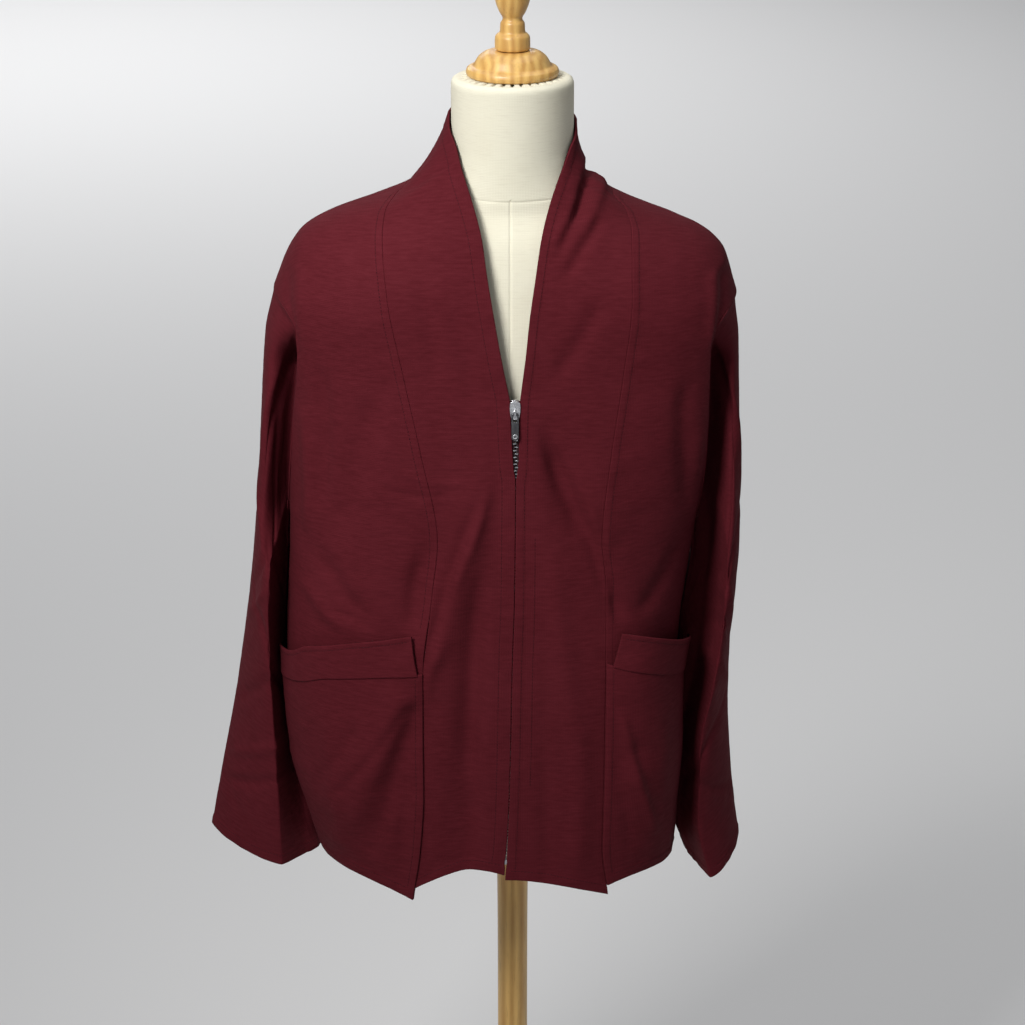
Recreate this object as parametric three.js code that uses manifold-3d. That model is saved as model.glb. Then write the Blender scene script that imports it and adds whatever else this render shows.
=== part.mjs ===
// A monk jacket on a dress form, as separate solids in millimetres.
//
// +Z is up and the jacket's front faces -Y. The wearer's left is +X. The origin is the
// centre of the stand's underside. Each panel's grid is the cloth's right side, and its
// wall is the cloth's thickness laid inside that surface.

import * as THREE from "three";
import { mergeVertices } from "three/addons/utils/BufferGeometryUtils.js";
import Module from "manifold-3d";

const wasm = await Module();
wasm.setup();

// ---------------------------------------------------------------- driving dimensions

const CLOTH = 1.6; // thickness of every cloth wall
const SEAM_GAP = 0.7; // clearance between two panels at a seam
const LAP_GAP = 0.5; // clearance under a piece that lies on a panel
const STAND_GAP = 0.3; // clearance between two pieces of the form or its stand
const WELD = 0.2; // overlap of two shapes that are joined into one solid

const UNDERARM = 990; // height of the underarm point
const NECK_POINT_SHARE = 0.442; // shoulder-neck point, as a share of the shoulder's reach
const ZIP_TOP = 1150; // top of the closed zip, where the neckline opens
const CAP_HEIGHT = 110; // height over which the body rounds over to the shoulder line
const SECTION_POWER = 2.6; // squareness of the body's horizontal sections
const COLLAR_RADIUS = 62; // outside of the collar's top edge, round the neck
const COLLAR_BACK_TOP = 1412; // collar's top edge at the centre back
const BACK_NECK = 1352; // collar seam at the centre back

const NECK_TOP = 1436; // top of the dress form's neck
const NECK_RADIUS = 58.6;
const FORM_BOTTOM = 655;
const FORM_POWER = { hips: 2.3, chest: 2.15, shoulders: 1.85, neck: 2 }; // squareness
const CHEST_LOW = 1100; // where the form's sections change from the hips' to the chest's
const SEAT_DROP = 3.9; // from the jacket's shoulder line down to the form's shoulder
const BASE_RADIUS = 190;
const BASE_HEIGHT = 22;

// Each side of the jacket. Its name is also its column or its key in the tables below.
const SIDES = [
  { name: "right", sign: -1, shoulderReach: 232, collarDip: 0, collarHollow: 6 },
  { name: "left", sign: 1, shoulderReach: 218, collarDip: 7, collarHollow: 10 },
];

// Rows of the cloth grids: heights from above the hem to the underarm, and then steps
// of angle from the underarm to the shoulder line.
const BODY_ROWS = [700, 741, 783, 824, 866, 907, 949, UNDERARM];
const YOKE_ANGLES = [0, 3, 9, 18, 27, 36, 45, 54, 63, 72, 81, 90];
const YOKE_STEPS = YOKE_ANGLES.length - 1;
const ZIP_TOP_STEP = 4; // the yoke step at which the neckline opens
const FRONT_COLUMNS = 5;
const SIDE_COLUMNS = 6;
const NECK_COLUMNS = 5;
const HOLLOW_START = 0.45; // share of the neckline at which the collar starts to hollow

// Horizontal sections of the jacket's body: reach to each side, to the front and the back.
const BODY_SECTIONS = [
  { z: 610, right: 186, left: 162, front: 153, back: 142 },
  { z: 700, right: 211, left: 171, front: 149, back: 139 },
  { z: 757, right: 226, left: 176, front: 146, back: 135 },
  { z: 857, right: 231, left: 176, front: 140, back: 128 },
  { z: 1000, right: 222, left: 187, front: 130, back: 118 },
  { z: 1110, right: 222, left: 206, front: 122, back: 112 },
  { z: 1187, right: 230, left: 216, front: 114, back: 108 },
  { z: 1240, right: 237, left: 223, front: 112, back: 105 },
  { z: 1390, right: 237, left: 223, front: 112, back: 105 },
];

// The shoulder line, from the centre of the neck to the top of the sleeve seam.
const SHOULDER_LINES = {
  right: [
    { x: 0, z: 1377 },
    { x: 40, z: 1369 },
    { x: 72, z: 1351 },
    { x: 103, z: 1332 },
    { x: 180, z: 1303 },
    { x: 202, z: 1290 },
    { x: 217, z: 1269 },
    { x: 232, z: 1232 },
  ],
  left: [
    { x: 0, z: 1377 },
    { x: 40, z: 1367 },
    { x: 70, z: 1346 },
    { x: 96, z: 1326 },
    { x: 160, z: 1300 },
    { x: 180, z: 1291 },
    { x: 203, z: 1272 },
    { x: 218, z: 1227 },
  ],
};

// Princess seams, between the centre-front and side-front panels.
const PRINCESS_SEAM = [
  { z: 610, right: 102, left: 98 },
  { z: 642, right: 98, left: 95 },
  { z: 690, right: 91, left: 89 },
  { z: 755, right: 87, left: 90 },
  { z: 875, right: 87, left: 91 },
  { z: 955, right: 78, left: 91 },
  { z: 1010, right: 72, left: 86 },
  { z: 1100, right: 88, left: 95 },
  { z: 1170, right: 103, left: 105 },
  { z: 1245, right: 118, left: 113 },
  { z: 1300, right: 123, left: 113 },
  { z: 1315, right: 121, left: 108 },
  { z: 1326, right: 112, left: 96.4 },
  { z: 1332, right: 102.5, left: 96.4 },
];

// Sleeve seam on the body, from the underarm to the top of the shoulder.
const ARMHOLE = [
  { z: 990, right: 222, left: 186 },
  { z: 1010, right: 213, left: 182 },
  { z: 1040, right: 207, left: 181 },
  { z: 1110, right: 203, left: 185 },
  { z: 1185, right: 203, left: 188 },
  { z: 1205, right: 206, left: 194 },
  { z: 1217, right: 215, left: 206 },
  { z: 1227, right: 226, left: 218 },
  { z: 1232, right: 232, left: 218 },
];

// The zip's line down the centre front, and how far each front edge stands off it.
const ZIP_LINE = [
  { z: 660, x: -8, stand: 2.4 },
  { z: 690, x: -6, stand: 2.2 },
  { z: 715, x: -4.5, stand: 0.4 },
  { z: 790, x: -2, stand: 0.4 },
  { z: 890, x: 0, stand: 0.4 },
  { z: 950, x: 2, stand: 0.4 },
  { z: 1040, x: 3, stand: 0.6 },
  { z: 1075, x: 3.2, stand: 1.6 },
  { z: 1110, x: 2.8, stand: 3.2 },
  { z: 1150, x: 2.4, stand: 4.6 },
];

// The open neckline, from the top of the zip to the side of the neck.
const NECKLINE = [
  { z: 1150, y: -117, right: 2.2, left: 7 },
  { z: 1190, y: -114, right: 10.3, left: 12.2 },
  { z: 1230, y: -109, right: 17.4, left: 16.4 },
  { z: 1265, y: -99, right: 23.4, left: 21.5 },
  { z: 1300, y: -85, right: 28.8, left: 27 },
  { z: 1330, y: -68, right: 37.6, left: 35 },
  { z: 1358, y: -47, right: 48.2, left: 46.3 },
  { z: 1377, y: -31, right: 54.5, left: 54.5 },
  { z: 1391, y: -12, right: 60.8, left: 60.8 },
  { z: 1401, y: 6, right: 61.7, left: 61.7 },
];

// Height of each panel's hem at its inner edge, its middle and its outer edge.
const HEMS = {
  front_right: { inner: 667, middle: 670, outer: 648 },
  front_left: { inner: 662, middle: 656, outer: 639 },
  side_front_right: { inner: 636, middle: 654, outer: 645 },
  side_front_left: { inner: 650, middle: 653, outer: 634 },
};
const BACK_HEM = 652; // hem at the centre back

// The largest folds: soft troughs (depth > 0) and ridges (depth < 0) along a bent line of
// [x, z] points on the front or the back.
const FOLDS = [
  { face: -1, from: [-10, 1112], bend: [-45, 985], to: [-168, 728], width: 22, depth: -9 },
  { face: -1, from: [-52, 1060], bend: [-88, 950], to: [-122, 770], width: 24, depth: 8 },
  { face: -1, from: [-27, 1010], bend: [-46, 860], to: [-42, 660], width: 20, depth: 7 },
  { face: -1, from: [22, 1146], bend: [54, 1070], to: [112, 905], width: 22, depth: 9 },
  { face: -1, from: [66, 1120], bend: [86, 1000], to: [150, 760], width: 24, depth: -6 },
  { face: -1, from: [112, 800], bend: [130, 740], to: [150, 660], width: 18, depth: -6 },
  { face: 1, from: [-120, 1170], bend: [-100, 930], to: [-112, 655], width: 30, depth: 9 },
  { face: 1, from: [-40, 1090], bend: [-52, 880], to: [-36, 655], width: 28, depth: -8 },
  { face: 1, from: [60, 1120], bend: [40, 900], to: [62, 655], width: 30, depth: 8 },
  { face: 1, from: [128, 1140], bend: [112, 930], to: [126, 655], width: 26, depth: -7 },
];
const FOLD_STEPS = 16; // steps along a fold's line
const FOLD_GROWS = 0.35; // share of its line over which a fold grows
const FOLD_TAIL = { end: 1.15, over: 0.3 }; // where a fold would end, and over what share
const FOLD_SEAM_FADE = 3; // how soon folds reach their depth inside the side seams
const FOLD_FREE_ZIP = { from: 16, over: 26 }; // folds are held flat beside the zip

// Sleeve sections from the armhole to the cuff: the outer and the inner edge, the front
// and back folds, the front fold's reach and how much lower the front hangs.
const SLEEVES = {
  right: [
    { outer: 232, top: 1232, inner: 222, low: 990, front: -66, back: 72, fold: 208, dip: 0 },
    { outer: 241, top: 1190, inner: 227, low: 956, front: -66, back: 78, fold: 222, dip: 0 },
    { outer: 246, top: 1130, inner: 230, low: 918, front: -68, back: 82, fold: 232, dip: 2 },
    { outer: 250, top: 1060, inner: 236, low: 876, front: -68, back: 82, fold: 237, dip: 4 },
    { outer: 257, top: 980, inner: 241, low: 834, front: -67, back: 80, fold: 240, dip: 5 },
    { outer: 268, top: 893, inner: 241, low: 790, front: -66, back: 76, fold: 240, dip: 7 },
    { outer: 282, top: 805, inner: 236, low: 744, front: -64, back: 70, fold: 238, dip: 8 },
    { outer: 298, top: 725, inner: 219, low: 692, front: -62, back: 64, fold: 236, dip: 9 },
    { outer: 312, top: 652, inner: 200, low: 637, front: -60, back: 60, fold: 235, dip: 11 },
  ],
  left: [
    { outer: 218, top: 1227, inner: 187, low: 990, front: -64, back: 70, fold: 190, dip: 0 },
    { outer: 220, top: 1190, inner: 191, low: 956, front: -66, back: 76, fold: 200, dip: 0 },
    { outer: 221, top: 1130, inner: 191, low: 918, front: -67, back: 80, fold: 208, dip: 4 },
    { outer: 222, top: 1060, inner: 190, low: 876, front: -67, back: 80, fold: 208, dip: 8 },
    { outer: 224, top: 985, inner: 189, low: 834, front: -66, back: 78, fold: 206, dip: 11 },
    { outer: 220, top: 895, inner: 186, low: 790, front: -65, back: 76, fold: 199, dip: 14 },
    { outer: 220, top: 810, inner: 183, low: 744, front: -63, back: 72, fold: 188, dip: 17 },
    { outer: 225, top: 722, inner: 180, low: 690, front: -61, back: 70, fold: 188, dip: 20 },
    { outer: 235, top: 642, inner: 176, low: 640, front: -60, back: 68, fold: 202, dip: 22 },
  ],
};
const SLEEVE_ROWS = 13;
const UNDERARM_GAP = 1.5; // how far the sleeve stands off the body at the underarm
const SLEEVE_CLEARANCE = 3; // between a hanging sleeve and the body's side
const SLEEVE_POWER = 1.25; // above 1, a section is nearer to a rounded diamond
const SLEEVE_EVEN = 0.5; // share of the sleeve's length over which its columns even out
const SLEEVE_HOLD = { over: 0.4, power: 1.5 }; // how the armhole's shape fades downwards
const SLEEVE_FREE = { z: 1100, over: 40 }; // below this height it is kept off the body
const UNDERARM_BAND = { height: 130, over: 60 }; // where the sleeve leaves the armhole

// Patch pockets: where the welt band's ends lie on the panel, and its height there.
const POCKETS = {
  right: { innerTop: 914, innerFoot: 876, outerTop: 872, outerFoot: 846, gape: 1 },
  left: { innerTop: 912, innerFoot: 878, outerTop: 874, outerFoot: 840, gape: 7 },
};
const POCKET_EASE = 9; // how far the pouch bellies out at its middle
const POCKET_FULLNESS = 0.7; // below 1, the belly is flatter across its middle
const GAPE_POWER = 1.5; // how late along the band its outer end starts to gape
const POCKET_ROW_CLEARANCE = 10; // from the band's lowest point to the pouch's last row
const POCKET_INSET = 0.28; // how far a pocket's ends are drawn in, as a share of a column

// The dress form's sections up to the chest: reach to the side, the front and the back.
const TORSO = [
  { z: 655, side: 136, front: 92, back: 98 },
  { z: 668, side: 149, front: 100, back: 106 },
  { z: 710, side: 157, front: 104, back: 110 },
  { z: 765, side: 160, front: 104, back: 109 },
  { z: 850, side: 152, front: 98, back: 97 },
  { z: 935, side: 145, front: 95, back: 87 },
  { z: 1020, side: 153, front: 99, back: 88 },
  { z: 1100, side: 165, front: 102, back: 94 },
  { z: 1160, side: 172, front: 101, back: 97 },
  { z: 1205, side: 178, front: 96, back: 95 },
  { z: 1240, side: 184, front: 89, back: 89 },
  { z: 1262, side: 188, front: 84, back: 83 },
];
// Rows over the shoulders, where each side follows the jacket's own shoulder line, but
// reaches no further than `most`.
const FORM_SHOULDERS = [
  { z: 1277, most: 189, front: 80, back: 78 },
  { z: 1289, most: 184, front: 76, back: 73 },
  { z: 1299, most: 176, front: 71, back: 69 },
  { z: 1308, most: 160, front: 66, back: 66 },
  { z: 1317, most: 140, front: 62, back: 63 },
];
// Rows of the neck above them.
const NECK = [
  { z: 1328, side: 82, front: 60.5, back: 61 },
  { z: 1340, side: 70, front: 59.4, back: 60 },
  { z: 1354, side: 62, front: 58.8, back: 59.2 },
  { z: 1372, side: NECK_RADIUS, front: NECK_RADIUS, back: NECK_RADIUS },
  { z: 1400, side: NECK_RADIUS, front: NECK_RADIUS, back: NECK_RADIUS },
  { z: 1429, side: NECK_RADIUS, front: NECK_RADIUS, back: NECK_RADIUS },
  { z: 1433.5, side: 57.6, front: 57.6, back: 57.6 },
  { z: NECK_TOP, side: 54, front: 54, back: 54 },
];
const FORM_SIDES = 40;

// The turned cap on the neck, and the knob above it: radius and height over the neck.
const NECK_PLATE = [
  { r: 0, z: 0 },
  { r: 41, z: 0 },
  { r: 43.5, z: 1.5 },
  { r: 44.5, z: 4.5 },
  { r: 43.5, z: 8 },
  { r: 41, z: 9.5 },
  { r: 37.5, z: 10.5 },
  { r: 36, z: 13 },
  { r: 32.5, z: 19 },
  { r: 27, z: 23 },
  { r: 22, z: 24.5 },
  { r: 0, z: 24.5 },
];
const FINIAL = [
  { r: 0, z: 24.8 },
  { r: 16, z: 24.8 },
  { r: 17, z: 28 },
  { r: 16.7, z: 38 },
  { r: 14.5, z: 40.5 },
  { r: 12, z: 42 },
  { r: 11.7, z: 51 },
  { r: 9.6, z: 53.5 },
  { r: 9.3, z: 56 },
  { r: 12.5, z: 61 },
  { r: 15.8, z: 69 },
  { r: 18, z: 80 },
  { r: 18.4, z: 90 },
  { r: 16.5, z: 100 },
  { r: 12, z: 107.5 },
  { r: 6, z: 111 },
  { r: 0, z: 112 },
];

// The pole's foot, upwards from the base, and its head, downwards from the form.
const POLE_FOOT = [
  { r: 0, up: 0 },
  { r: 34, up: 0 },
  { r: 34, up: 8 },
  { r: 24, up: 16 },
  { r: 17, up: 30 },
  { r: 15.5, up: 60 },
];
const POLE_HEAD = [
  { r: 15.5, down: 60 },
  { r: 18, down: 34 },
  { r: 30, down: 18 },
  { r: 62, down: 12 },
  { r: 62, down: 0 },
  { r: 0, down: 0 },
];
// The base's moulded edge, inwards from its radius.
const BASE_EDGE = [
  { inset: 4, z: 0 },
  { inset: 0, z: 4 },
  { inset: 0, z: 11 },
  { inset: 5, z: 15 },
  { inset: 14, z: 17 },
  { inset: 22, z: BASE_HEIGHT },
];
const TURNED_SIDES = 48;
const BASE_SIDES = 64;

// Zip hardware. Each bar of it follows the zip's line in ZIP_STEPS steps.
const ZIP_STEPS = 14;
const TAPE = { inner: 3.1, outer: 14, thick: 0.8, bottom: 673, headRoom: 1 };
const CHAIN = { halfWidth: 2.6, thick: 2, bottom: 684, top: 1132.8 };
const STOP = { halfWidth: 2.7, thick: 2.6, bottom: 677.5, top: 683.5 };
const SLIDER = {
  middle: 1141, // height of its middle
  height: 18, // along the zip
  topHalf: 5.2,
  footHalf: 3.6,
  flank: -0.1, // where its sides start to taper, as a share of half its height
  shoulder: 0.78, // where its top corners start, as a share of half its height
  crest: 0.55, // width left at the very top, as a share of topHalf
  plate: 1.5, // thickness of the front and back plates
  lift: 0.6, // front plate's clearance from the cloth
  coreHalf: 2.2,
  coreFoot: 1.5, // how far the core stops short of the slider's foot and head
  coreHead: 1,
  depth: 5.2, // from the cloth's face to the back plate
  crownHalf: 1,
  crownWall: 1.4,
  crownChamfer: 1.6,
  crownReach: 4.4, // how far the crown stands out from the front plate
  crownLow: -6,
  crownHigh: 2.4,
  pivot: -3.4, // pull tab's axis, along the zip from the slider's middle
};
const PULL = {
  halfWidth: 3.5,
  length: 26,
  thick: 1.4,
  corner: 1.2,
  bar: 0.8, // half the height of the bar that the crown holds
  windowHalf: 1.9,
  window: 6.6,
  hole: 1.5, // radius of the hole in its free end
  holeUp: 4, // from the free end to the hole's middle
};

const COLOURS = {
  cloth: 0x551820,
  canvas: 0xe6e2cf,
  wood: 0xd9a75a,
  steel: 0xb9bcc0,
  tape: 0x3d1218,
};

// ---------------------------------------------------------------------- small helpers

const lerp = THREE.MathUtils.lerp;
const clamp = THREE.MathUtils.clamp;
const radians = THREE.MathUtils.degToRad;

function range(count) {
  return Array.from({ length: count }, (_, i) => i);
}

function smoothstep(t) {
  const u = clamp(t, 0, 1);
  return u * u * (3 - 2 * u);
}

// A smooth function through a table's rows, without overshoot.
function profile(table, along, value) {
  const knots = table.map((row) => [row[along], row[value]]);
  const rise = (i) => (knots[i + 1][1] - knots[i][1]) / (knots[i + 1][0] - knots[i][0]);
  const slopes = knots.map((_, i) => {
    if (i === 0) return rise(0);
    if (i === knots.length - 1) return rise(i - 1);
    const before = rise(i - 1);
    const after = rise(i);
    return before * after <= 0 ? 0 : (2 * before * after) / (before + after);
  });
  return (at) => {
    const here = clamp(at, knots[0][0], knots.at(-1)[0]);
    let i = 0;
    while (i < knots.length - 2 && here > knots[i + 1][0]) i += 1;
    const width = knots[i + 1][0] - knots[i][0];
    const t = (here - knots[i][0]) / width;
    const eased = t * t * (3 - 2 * t);
    const startPull = t * (1 - t) * (1 - t) * width * slopes[i];
    const endPull = t * t * (t - 1) * width * slopes[i + 1];
    return lerp(knots[i][1], knots[i + 1][1], eased) + startPull + endPull;
  };
}

// A table's column as a smooth function of the row number, from 0 to 1 over the table.
function alongRows(table, value) {
  const rows = table.map((row, i) => ({ i, value: row[value] }));
  const curve = profile(rows, "i", "value");
  return (t) => curve(t * (table.length - 1));
}

function bySide(table, along) {
  return { right: profile(table, along, "right"), left: profile(table, along, "left") };
}

// -------------------------------------------------------------------- the body's shape

const reach = bySide(BODY_SECTIONS, "z");
const frontDepth = profile(BODY_SECTIONS, "z", "front");
const backDepth = profile(BODY_SECTIONS, "z", "back");
const princess = bySide(PRINCESS_SEAM, "z");
const armhole = bySide(ARMHOLE, "z");
const zipX = profile(ZIP_LINE, "z", "x");
const zipStand = profile(ZIP_LINE, "z", "stand");
const shoulder = {
  right: profile(SHOULDER_LINES.right, "x", "z"),
  left: profile(SHOULDER_LINES.left, "x", "z"),
};

// How far the folds move the cloth at a point of the front (face -1) or back (face 1).
function foldOffset(face, x, z) {
  let total = 0;
  for (const fold of FOLDS.filter((one) => one.face === face)) {
    let nearest = Infinity;
    let place = 0;
    for (const i of range(FOLD_STEPS + 1)) {
      const t = i / FOLD_STEPS;
      const px = (1 - t) ** 2 * fold.from[0] + 2 * t * (1 - t) * fold.bend[0] + t * t * fold.to[0];
      const pz = (1 - t) ** 2 * fold.from[1] + 2 * t * (1 - t) * fold.bend[1] + t * t * fold.to[1];
      const distance = Math.hypot(x - px, z - pz);
      if (distance < nearest) {
        nearest = distance;
        place = t;
      }
    }
    const tail = smoothstep((FOLD_TAIL.end - place) / FOLD_TAIL.over);
    const fade = smoothstep(place / FOLD_GROWS) * tail;
    total += fold.depth * fade * Math.exp(-((nearest / fold.width) ** 2));
  }
  if (face > 0) return total;
  const fromZip = Math.abs(x - zipX(z));
  return total * smoothstep((fromZip - FOLD_FREE_ZIP.from) / FOLD_FREE_ZIP.over);
}

// A point of the body's outer surface at a distance x out from the centre on one side.
function bodyPoint(side, face, x, z) {
  const out = Math.abs(x);
  const share = Math.min(1, out / reach[side.name](z));
  const round = (1 - share ** SECTION_POWER) ** (1 / SECTION_POWER);
  const below = clamp((shoulder[side.name](out) - z) / CAP_HEIGHT, 0, 1);
  const cap = Math.sqrt(1 - (1 - below) ** 2);
  const depth = face < 0 ? frontDepth(z) : backDepth(z);
  const fade = Math.min(1, FOLD_SEAM_FADE * round) * cap;
  const fold = foldOffset(face, side.sign * x, z) * fade;
  return new THREE.Vector3(side.sign * x, face * (depth * round * cap - fold), z);
}

// Where a front panel's zip edge lies, as a distance out on its side.
function zipEdge(side, z) {
  return side.sign * zipX(z) + zipStand(z);
}

// Columns crowd towards the side seam below the arm, and are even at the shoulder.
function spread(share, climb) {
  return lerp(Math.sin((share * Math.PI) / 2), share, smoothstep(climb));
}

function hemHeight(hem, share) {
  const bow = hem.middle - (hem.inner + hem.outer) / 2;
  return lerp(hem.inner, hem.outer, share) + bow * 4 * share * (1 - share);
}

function yokeRise(step) {
  return Math.sin(radians(YOKE_ANGLES[step]));
}

function neckPoint(side) {
  return NECK_POINT_SHARE * side.shoulderReach;
}

// The height of the back's top edge: the collar seam, and then the shoulder line.
function backTop(side, x) {
  const neck = neckPoint(side);
  const ridge = shoulder[side.name];
  if (x >= neck) return ridge(x);
  return lerp(BACK_NECK, ridge(neck), (x / neck) ** 2);
}

// ------------------------------------------------------------------------ panel grids
// A grid is a list of rows from the hem up, and a row is a list of points.

function sideFrontGrid(side) {
  const hem = HEMS[`side_front_${side.name}`];
  const shares = range(SIDE_COLUMNS + 1).map((j) => j / SIDE_COLUMNS);
  const seam = princess[side.name];
  const across = (share, z, climb) => lerp(seam(z), reach[side.name](z), spread(share, climb));
  const rows = [hem, ...BODY_ROWS].map((level) =>
    shares.map((share) => {
      const z = level === hem ? hemHeight(hem, share) : level;
      return bodyPoint(side, -1, across(share, z, 0), z);
    }),
  );
  for (const step of range(YOKE_STEPS).map((i) => i + 1)) {
    const rise = yokeRise(step);
    const ridge = shoulder[side.name];
    const innerZ = lerp(UNDERARM, ridge(neckPoint(side)), rise);
    const outerZ = lerp(UNDERARM, ridge(side.shoulderReach), rise);
    const inner = step === YOKE_STEPS ? neckPoint(side) : seam(innerZ);
    rows.push(
      shares.map((share) => {
        const top = ridge(lerp(neckPoint(side), side.shoulderReach, share));
        const out = spread(share, step / YOKE_STEPS);
        const x = lerp(inner, armhole[side.name](outerZ), out);
        return bodyPoint(side, -1, x, lerp(UNDERARM, top, rise));
      }),
    );
  }
  return rows;
}

function backHalfGrid(side) {
  const outerHem = HEMS[`side_front_${side.name}`].outer;
  const hem = { inner: BACK_HEM, middle: (BACK_HEM + outerHem) / 2, outer: outerHem };
  const neck = range(NECK_COLUMNS).map((j) => (NECK_POINT_SHARE * j) / NECK_COLUMNS);
  const outer = range(SIDE_COLUMNS + 1).map((j) => lerp(NECK_POINT_SHARE, 1, j / SIDE_COLUMNS));
  const shares = [...neck, ...outer];
  const rows = [hem, ...BODY_ROWS].map((level) =>
    shares.map((share) => {
      const z = level === hem ? hemHeight(hem, share) : level;
      return bodyPoint(side, 1, reach[side.name](z) * spread(share, 0), z);
    }),
  );
  for (const step of range(YOKE_STEPS).map((i) => i + 1)) {
    const rise = yokeRise(step);
    const outerZ = lerp(UNDERARM, shoulder[side.name](side.shoulderReach), rise);
    rows.push(
      shares.map((share) => {
        const top = backTop(side, share * side.shoulderReach);
        const x = armhole[side.name](outerZ) * spread(share, step / YOKE_STEPS);
        return bodyPoint(side, 1, x, lerp(UNDERARM, top, rise));
      }),
    );
  }
  return rows;
}

// The whole back, from the wearer's right side seam to the left one.
function backGrid() {
  const [right, left] = SIDES.map(backHalfGrid);
  return right.map((row, i) => [...row.slice(1).reverse(), ...left[i]]);
}

function necklinePoint(side, t) {
  const height = alongRows(NECKLINE, "z")(t) - side.collarDip * t * t;
  const x = side.sign * alongRows(NECKLINE, side.name)(t);
  return new THREE.Vector3(x, alongRows(NECKLINE, "y")(t), height);
}

// The collar's top edge round the back of the neck, from its side (0) to the centre (1).
function collarTopPoint(side, t) {
  const start = necklinePoint(side, 1);
  const angle = lerp(Math.atan2(start.y, Math.abs(start.x)), Math.PI / 2, t);
  const x = side.sign * COLLAR_RADIUS * Math.cos(angle);
  return new THREE.Vector3(x, COLLAR_RADIUS * Math.sin(angle), lerp(start.z, COLLAR_BACK_TOP, t));
}

// One row of cloth from a free edge to a seam: straight, hollowed towards the neck, with
// the bow that the body's own surface has between the same two edges.
function standingRow(side, edge, seam, shares, bowShare, hollow) {
  const onBody = (share) => {
    const between = edge.clone().lerp(seam, share);
    return bodyPoint(side, -1, side.sign * between.x, between.z).y;
  };
  return shares.map((share) => {
    const point = edge.clone().lerp(seam, share);
    const bow = onBody(share) - lerp(onBody(0), onBody(1), share);
    point.y += bow * bowShare;
    const radial = new THREE.Vector3(point.x, point.y, 0).normalize();
    return point.addScaledVector(radial, -hollow * 4 * share * (1 - share));
  });
}

// A centre front with its grown-on collar, from the hem to the centre back of the neck.
function frontGrid(side, sideFront, backHalf) {
  const hem = HEMS[`front_${side.name}`];
  const shares = range(FRONT_COLUMNS + 1).map((j) => j / FRONT_COLUMNS);
  const seam = princess[side.name];
  const rows = [hem, ...BODY_ROWS].map((level) =>
    shares.map((share) => {
      const z = level === hem ? hemHeight(hem, share) : level;
      return bodyPoint(side, -1, lerp(zipEdge(side, z), seam(z), share), z);
    }),
  );
  const firstYokeRow = BODY_ROWS.length;
  for (const step of range(YOKE_STEPS).map((i) => i + 1)) {
    const outer = sideFront[firstYokeRow + step][0];
    if (step <= ZIP_TOP_STEP) {
      const edgeZ = lerp(UNDERARM, ZIP_TOP, yokeRise(step) / yokeRise(ZIP_TOP_STEP));
      rows.push(
        shares.map((share) => {
          const z = lerp(edgeZ, outer.z, share);
          const x = lerp(zipEdge(side, edgeZ), side.sign * outer.x, share);
          return bodyPoint(side, -1, x, z);
        }),
      );
    } else {
      const t = (step - ZIP_TOP_STEP) / (YOKE_STEPS - ZIP_TOP_STEP);
      const hollow = side.collarHollow * smoothstep((t - HOLLOW_START) / (1 - HOLLOW_START));
      rows.push(standingRow(side, necklinePoint(side, t), outer, shares, 1 - t, hollow));
    }
  }
  const neckSeam = backHalf.at(-1).slice(0, NECK_COLUMNS).reverse();
  neckSeam.forEach((seamPoint, i) => {
    const t = (i + 1) / NECK_COLUMNS;
    const hollow = side.collarHollow * (1 - t);
    rows.push(standingRow(side, collarTopPoint(side, t), seamPoint, shares, 0, hollow));
  });
  return rows;
}

// The armhole's points in order: front from the top down, and then up the back.
function armholeLoop(sideFront, backHalf) {
  const first = BODY_ROWS.length;
  const front = sideFront.slice(first).map((row) => row.at(-1));
  const back = backHalf.slice(first).map((row) => row.at(-1));
  return [...front.reverse(), ...back.slice(1, -1)];
}

// Moves a sleeve's point out of the body's section, to a clearance from its side.
function clearOfBody(side, point, clearance) {
  const depth = point.y < 0 ? frontDepth(point.z) : backDepth(point.z);
  const share = Math.min(1, Math.abs(point.y) / depth);
  const edge = reach[side.name](point.z) * (1 - share ** SECTION_POWER) ** (1 / SECTION_POWER);
  const near = smoothstep((SLEEVE_FREE.z - point.z) / SLEEVE_FREE.over);
  const least = (edge + clearance) * near;
  point.x = side.sign * Math.max(side.sign * point.x, least);
  return point;
}

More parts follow.
